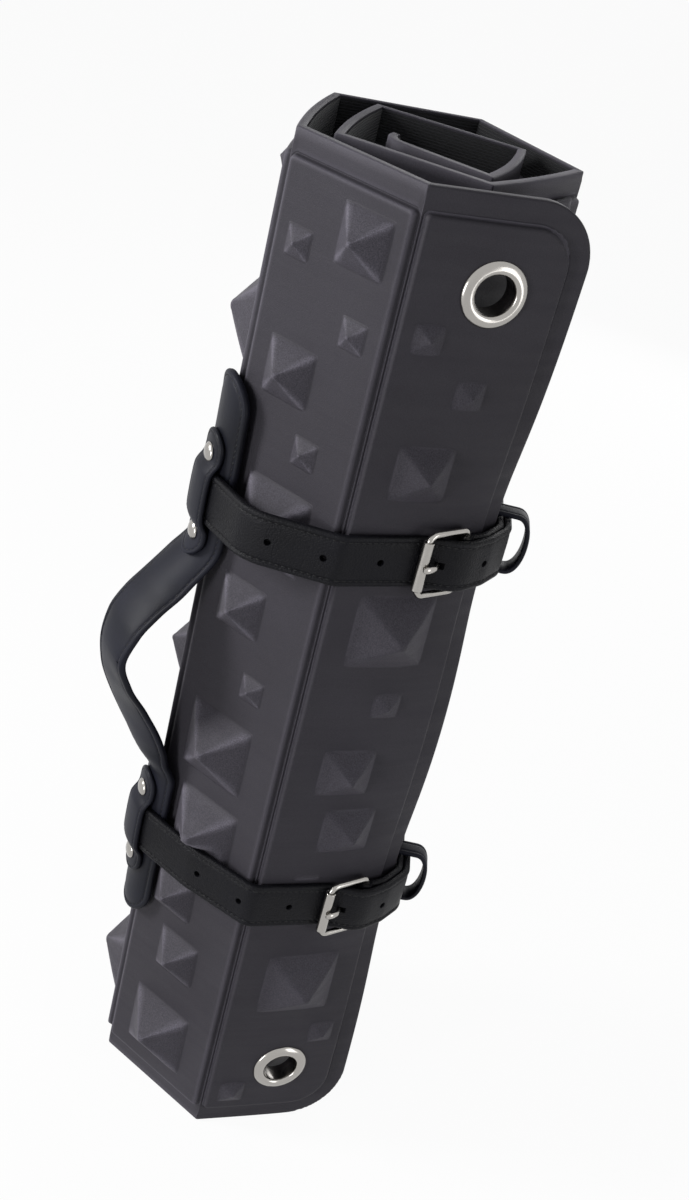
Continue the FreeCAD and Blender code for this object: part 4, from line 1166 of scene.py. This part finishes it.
# ---------------------------------------------------------------------------
# The handle: one long band of two plies of smooth leather with a thin filler
# between, sewn all round. Its two rounded ends lie against the roll beyond
# the straps, and between them it arches out for the hand.
# ---------------------------------------------------------------------------
BAND_WIDTH = 37.0
HALF_BAND = BAND_WIDTH / 2
UPPER_TIP, BAND_JOIN, LOWER_TIP = 481.0, 312.0, 122.0
# Height, reach of the outer face from the fold, twist and sag across the width
BOW = [(LOWER_TIP, 8.0, 0.0, 7.0), (226.0, 8.0, 0.0, 7.0), (232.0, 11.0, 5.0, 6.2), (238.0, 15.5, 13.0, 5.0),
       (246.0, 19.0, 20.0, 4.5), (259.0, 25.0, 22.0, 3.5), (276.0, 34.0, 19.0, 2.5), (295.0, 43.5, 9.0, 1.5),
       (BAND_JOIN, 47.5, 2.0, 1.0), (328.0, 44.0, 8.0, 1.5), (342.0, 36.0, 14.0, 2.5), (353.0, 27.0, 17.0, 3.5),
       (362.0, 21.0, 15.0, 4.6), (369.0, 16.0, 14.0, 5.0), (376.0, 11.6, 10.0, 5.8), (382.0, 9.2, 5.0, 6.5),
       (389.0, 8.1, 0.0, 7.0), (430.0, 8.0, 0.0, 6.6), (455.0, 8.0, 0.0, 5.6), (UPPER_TIP, 8.2, 0.0, 4.8)]


def through(stations, column, z):
    """A smooth line through the stations that never overshoots them."""
    zs = np.array([s[0] for s in stations])
    ys = np.array([s[column] for s in stations])
    d = np.diff(ys) / np.diff(zs)
    m = np.zeros(len(zs))
    for i in range(1, len(zs) - 1):
        if d[i - 1] * d[i] > 0:
            m[i] = 2 * d[i - 1] * d[i] / (d[i - 1] + d[i])
    k = np.clip(np.searchsorted(zs, z) - 1, 0, len(zs) - 2)
    w = zs[k + 1] - zs[k]
    t = np.clip((z - zs[k]) / w, 0, 1)
    return (ys[k] * (1 + 2 * t) * (1 - t) ** 2 + m[k] * w * t * (1 - t) ** 2
            + ys[k + 1] * t * t * (3 - 2 * t) + m[k + 1] * w * t * t * (t - 1))


def band_put(u, s, h):
    reach, twist, sag = (through(BOW, column, u) for column in (1, 2, 3))
    turn = np.radians(twist)[..., None]
    outer = HANDLE_OUT * np.cos(turn) + HANDLE_SIDE * np.sin(turn)
    side = HANDLE_SIDE * np.cos(turn) - HANDLE_OUT * np.sin(turn)
    radius = (HALF_BAND ** 2 + sag ** 2) / (2 * sag)
    angle = (s / HALF_BAND * np.arcsin(HALF_BAND / radius))[..., None]
    ray = outer * np.cos(angle) + side * np.sin(angle)
    centre = CORNER_0 + HANDLE_OUT * reach[..., None]
    flat = centre - outer * radius[..., None] + ray * (radius - BAND_THICK + h)[..., None]
    return np.concatenate([flat, u[..., None]], -1)


halves = []
for name, low, high, ends, start, stop in (
        ("upper", BAND_JOIN, UPPER_TIP - HALF_BAND, (0.0, 1.0), 376.0, 350.0),
        ("lower", LOWER_TIP + HALF_BAND, BAND_JOIN, (1.0, 0.0), 225.0, 252.0)):
    us = np.linspace(low, high, 84)
    band = stadium(band_put, us, HALF_BAND, ends, BAND_THICK, SEWN, 0.5)
    halves.append(leather_piece(name + "_handle_band", [band], smooth_leather, None, []))
    sewn = leather_piece(name + "_handle_thread", [stitches(band_put, us, HALF_BAND, ends, BAND_THICK - 0.5)],
                         thread, None, [])
    for piece in (halves[-1], sewn):
        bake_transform(piece)
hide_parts("handle_upper_end", "handle_bow")
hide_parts("handle_lower_end")


# ---------------------------------------------------------------------------
# Two short strips bridge over the straps and hold the handle to them. Each is
# sewn round and fixed to the band above and below the strap with a domed
# nickel rivet.
# ---------------------------------------------------------------------------
STRIP_WIDTH, STRIP_HALF, STRIP_THICK, RIVET_SPACING = 22.0, 37.0, 3.0, 47.0
STRIP_CURVE = 34.0
# Height from the strap and reach from the fold: a level top over the strap, and a ramp down to the band
CREST = [(-16.6, 11.4), (-13.5, 12.6), (-8.0, 13.0), (0.0, 13.1), (8.0, 13.0), (13.5, 12.6), (16.6, 11.3),
         (19.5, 9.4), (22.5, 8.5), (26.0, 8.3), (40.0, 8.3)]
STRIP_RISE = {
    "upper": [(-40.0, 15.2), (-37.0, 13.2), (-33.0, 11.2), (-29.0, 9.7), (-25.0, 8.9), (-22.0, 8.9),
              (-19.5, 9.6)] + CREST,
    "lower": [(-40.0, 8.3), (-26.0, 8.3), (-22.5, 8.5), (-19.5, 9.4), (-16.6, 11.3)] + CREST[1:],
}
STRIP_SEWN = [(0.0, -1.3), (0.12, -0.9), (0.4, -0.42), (0.85, -0.12), (1.3, 0.0), (1.7, -0.05), (2.0, -0.3),
              (2.3, -0.5), (2.6, -0.3), (3.0, -0.12), (4.0, 0.0)]
CAP = [(2.2, 0.0), (5.2, 0.05), (5.5, 0.35), (5.4, 0.75), (4.9, 1.25), (4.0, 1.8), (2.8, 2.25), (1.4, 2.5),
       (0.02, 2.58)]
for name, place in PLACES.items():
    rise_line = STRIP_RISE[name]

    def strip_put(u, s, h, z0=place["z"], rise_line=rise_line):
        reach = through(rise_line, 1, u)
        angle = (s / STRIP_CURVE)[..., None]
        ray = HANDLE_OUT * np.cos(angle) + HANDLE_SIDE * np.sin(angle)
        centre = CORNER_0 + HANDLE_OUT * (reach[..., None] - STRIP_CURVE)
        flat = centre + ray * (STRIP_CURVE + h)[..., None]
        return np.concatenate([flat, (u + z0)[..., None]], -1)

    half = STRIP_WIDTH / 2
    us = np.linspace(-STRIP_HALF + half, STRIP_HALF - half, 60)
    strip = stadium(strip_put, us, half, (1.0, 1.0), STRIP_THICK, STRIP_SEWN)
    leather_piece(name + "_handle_strip_leather", [strip], smooth_leather, "roll", [name + "_handle_strip"])
    leather_piece(name + "_handle_strip_thread",
                  [stitches(strip_put, us, half, (1.0, 1.0), STRIP_THICK - 0.45, inset=2.3, pitch=3.0, stitch=2.2,
                            radius=0.36)], thread, "roll", [])
    caps = []
    for at in (-RIVET_SPACING / 2, RIVET_SPACING / 2):
        seat = float(through(rise_line, 1, np.array(at))) + STRIP_THICK - 0.25
        dome = [(0.02, seat - 4.0), (2.2, seat - 4.0)] + [(radius, seat + rise) for radius, rise in CAP]
        caps.append(lathe_mesh((*CORNER_0, place["z"] + at), (*HANDLE_OUT, 0), dome, 40))
    hardware(name + "_domed_rivets", caps, "roll", name + "_rivets")
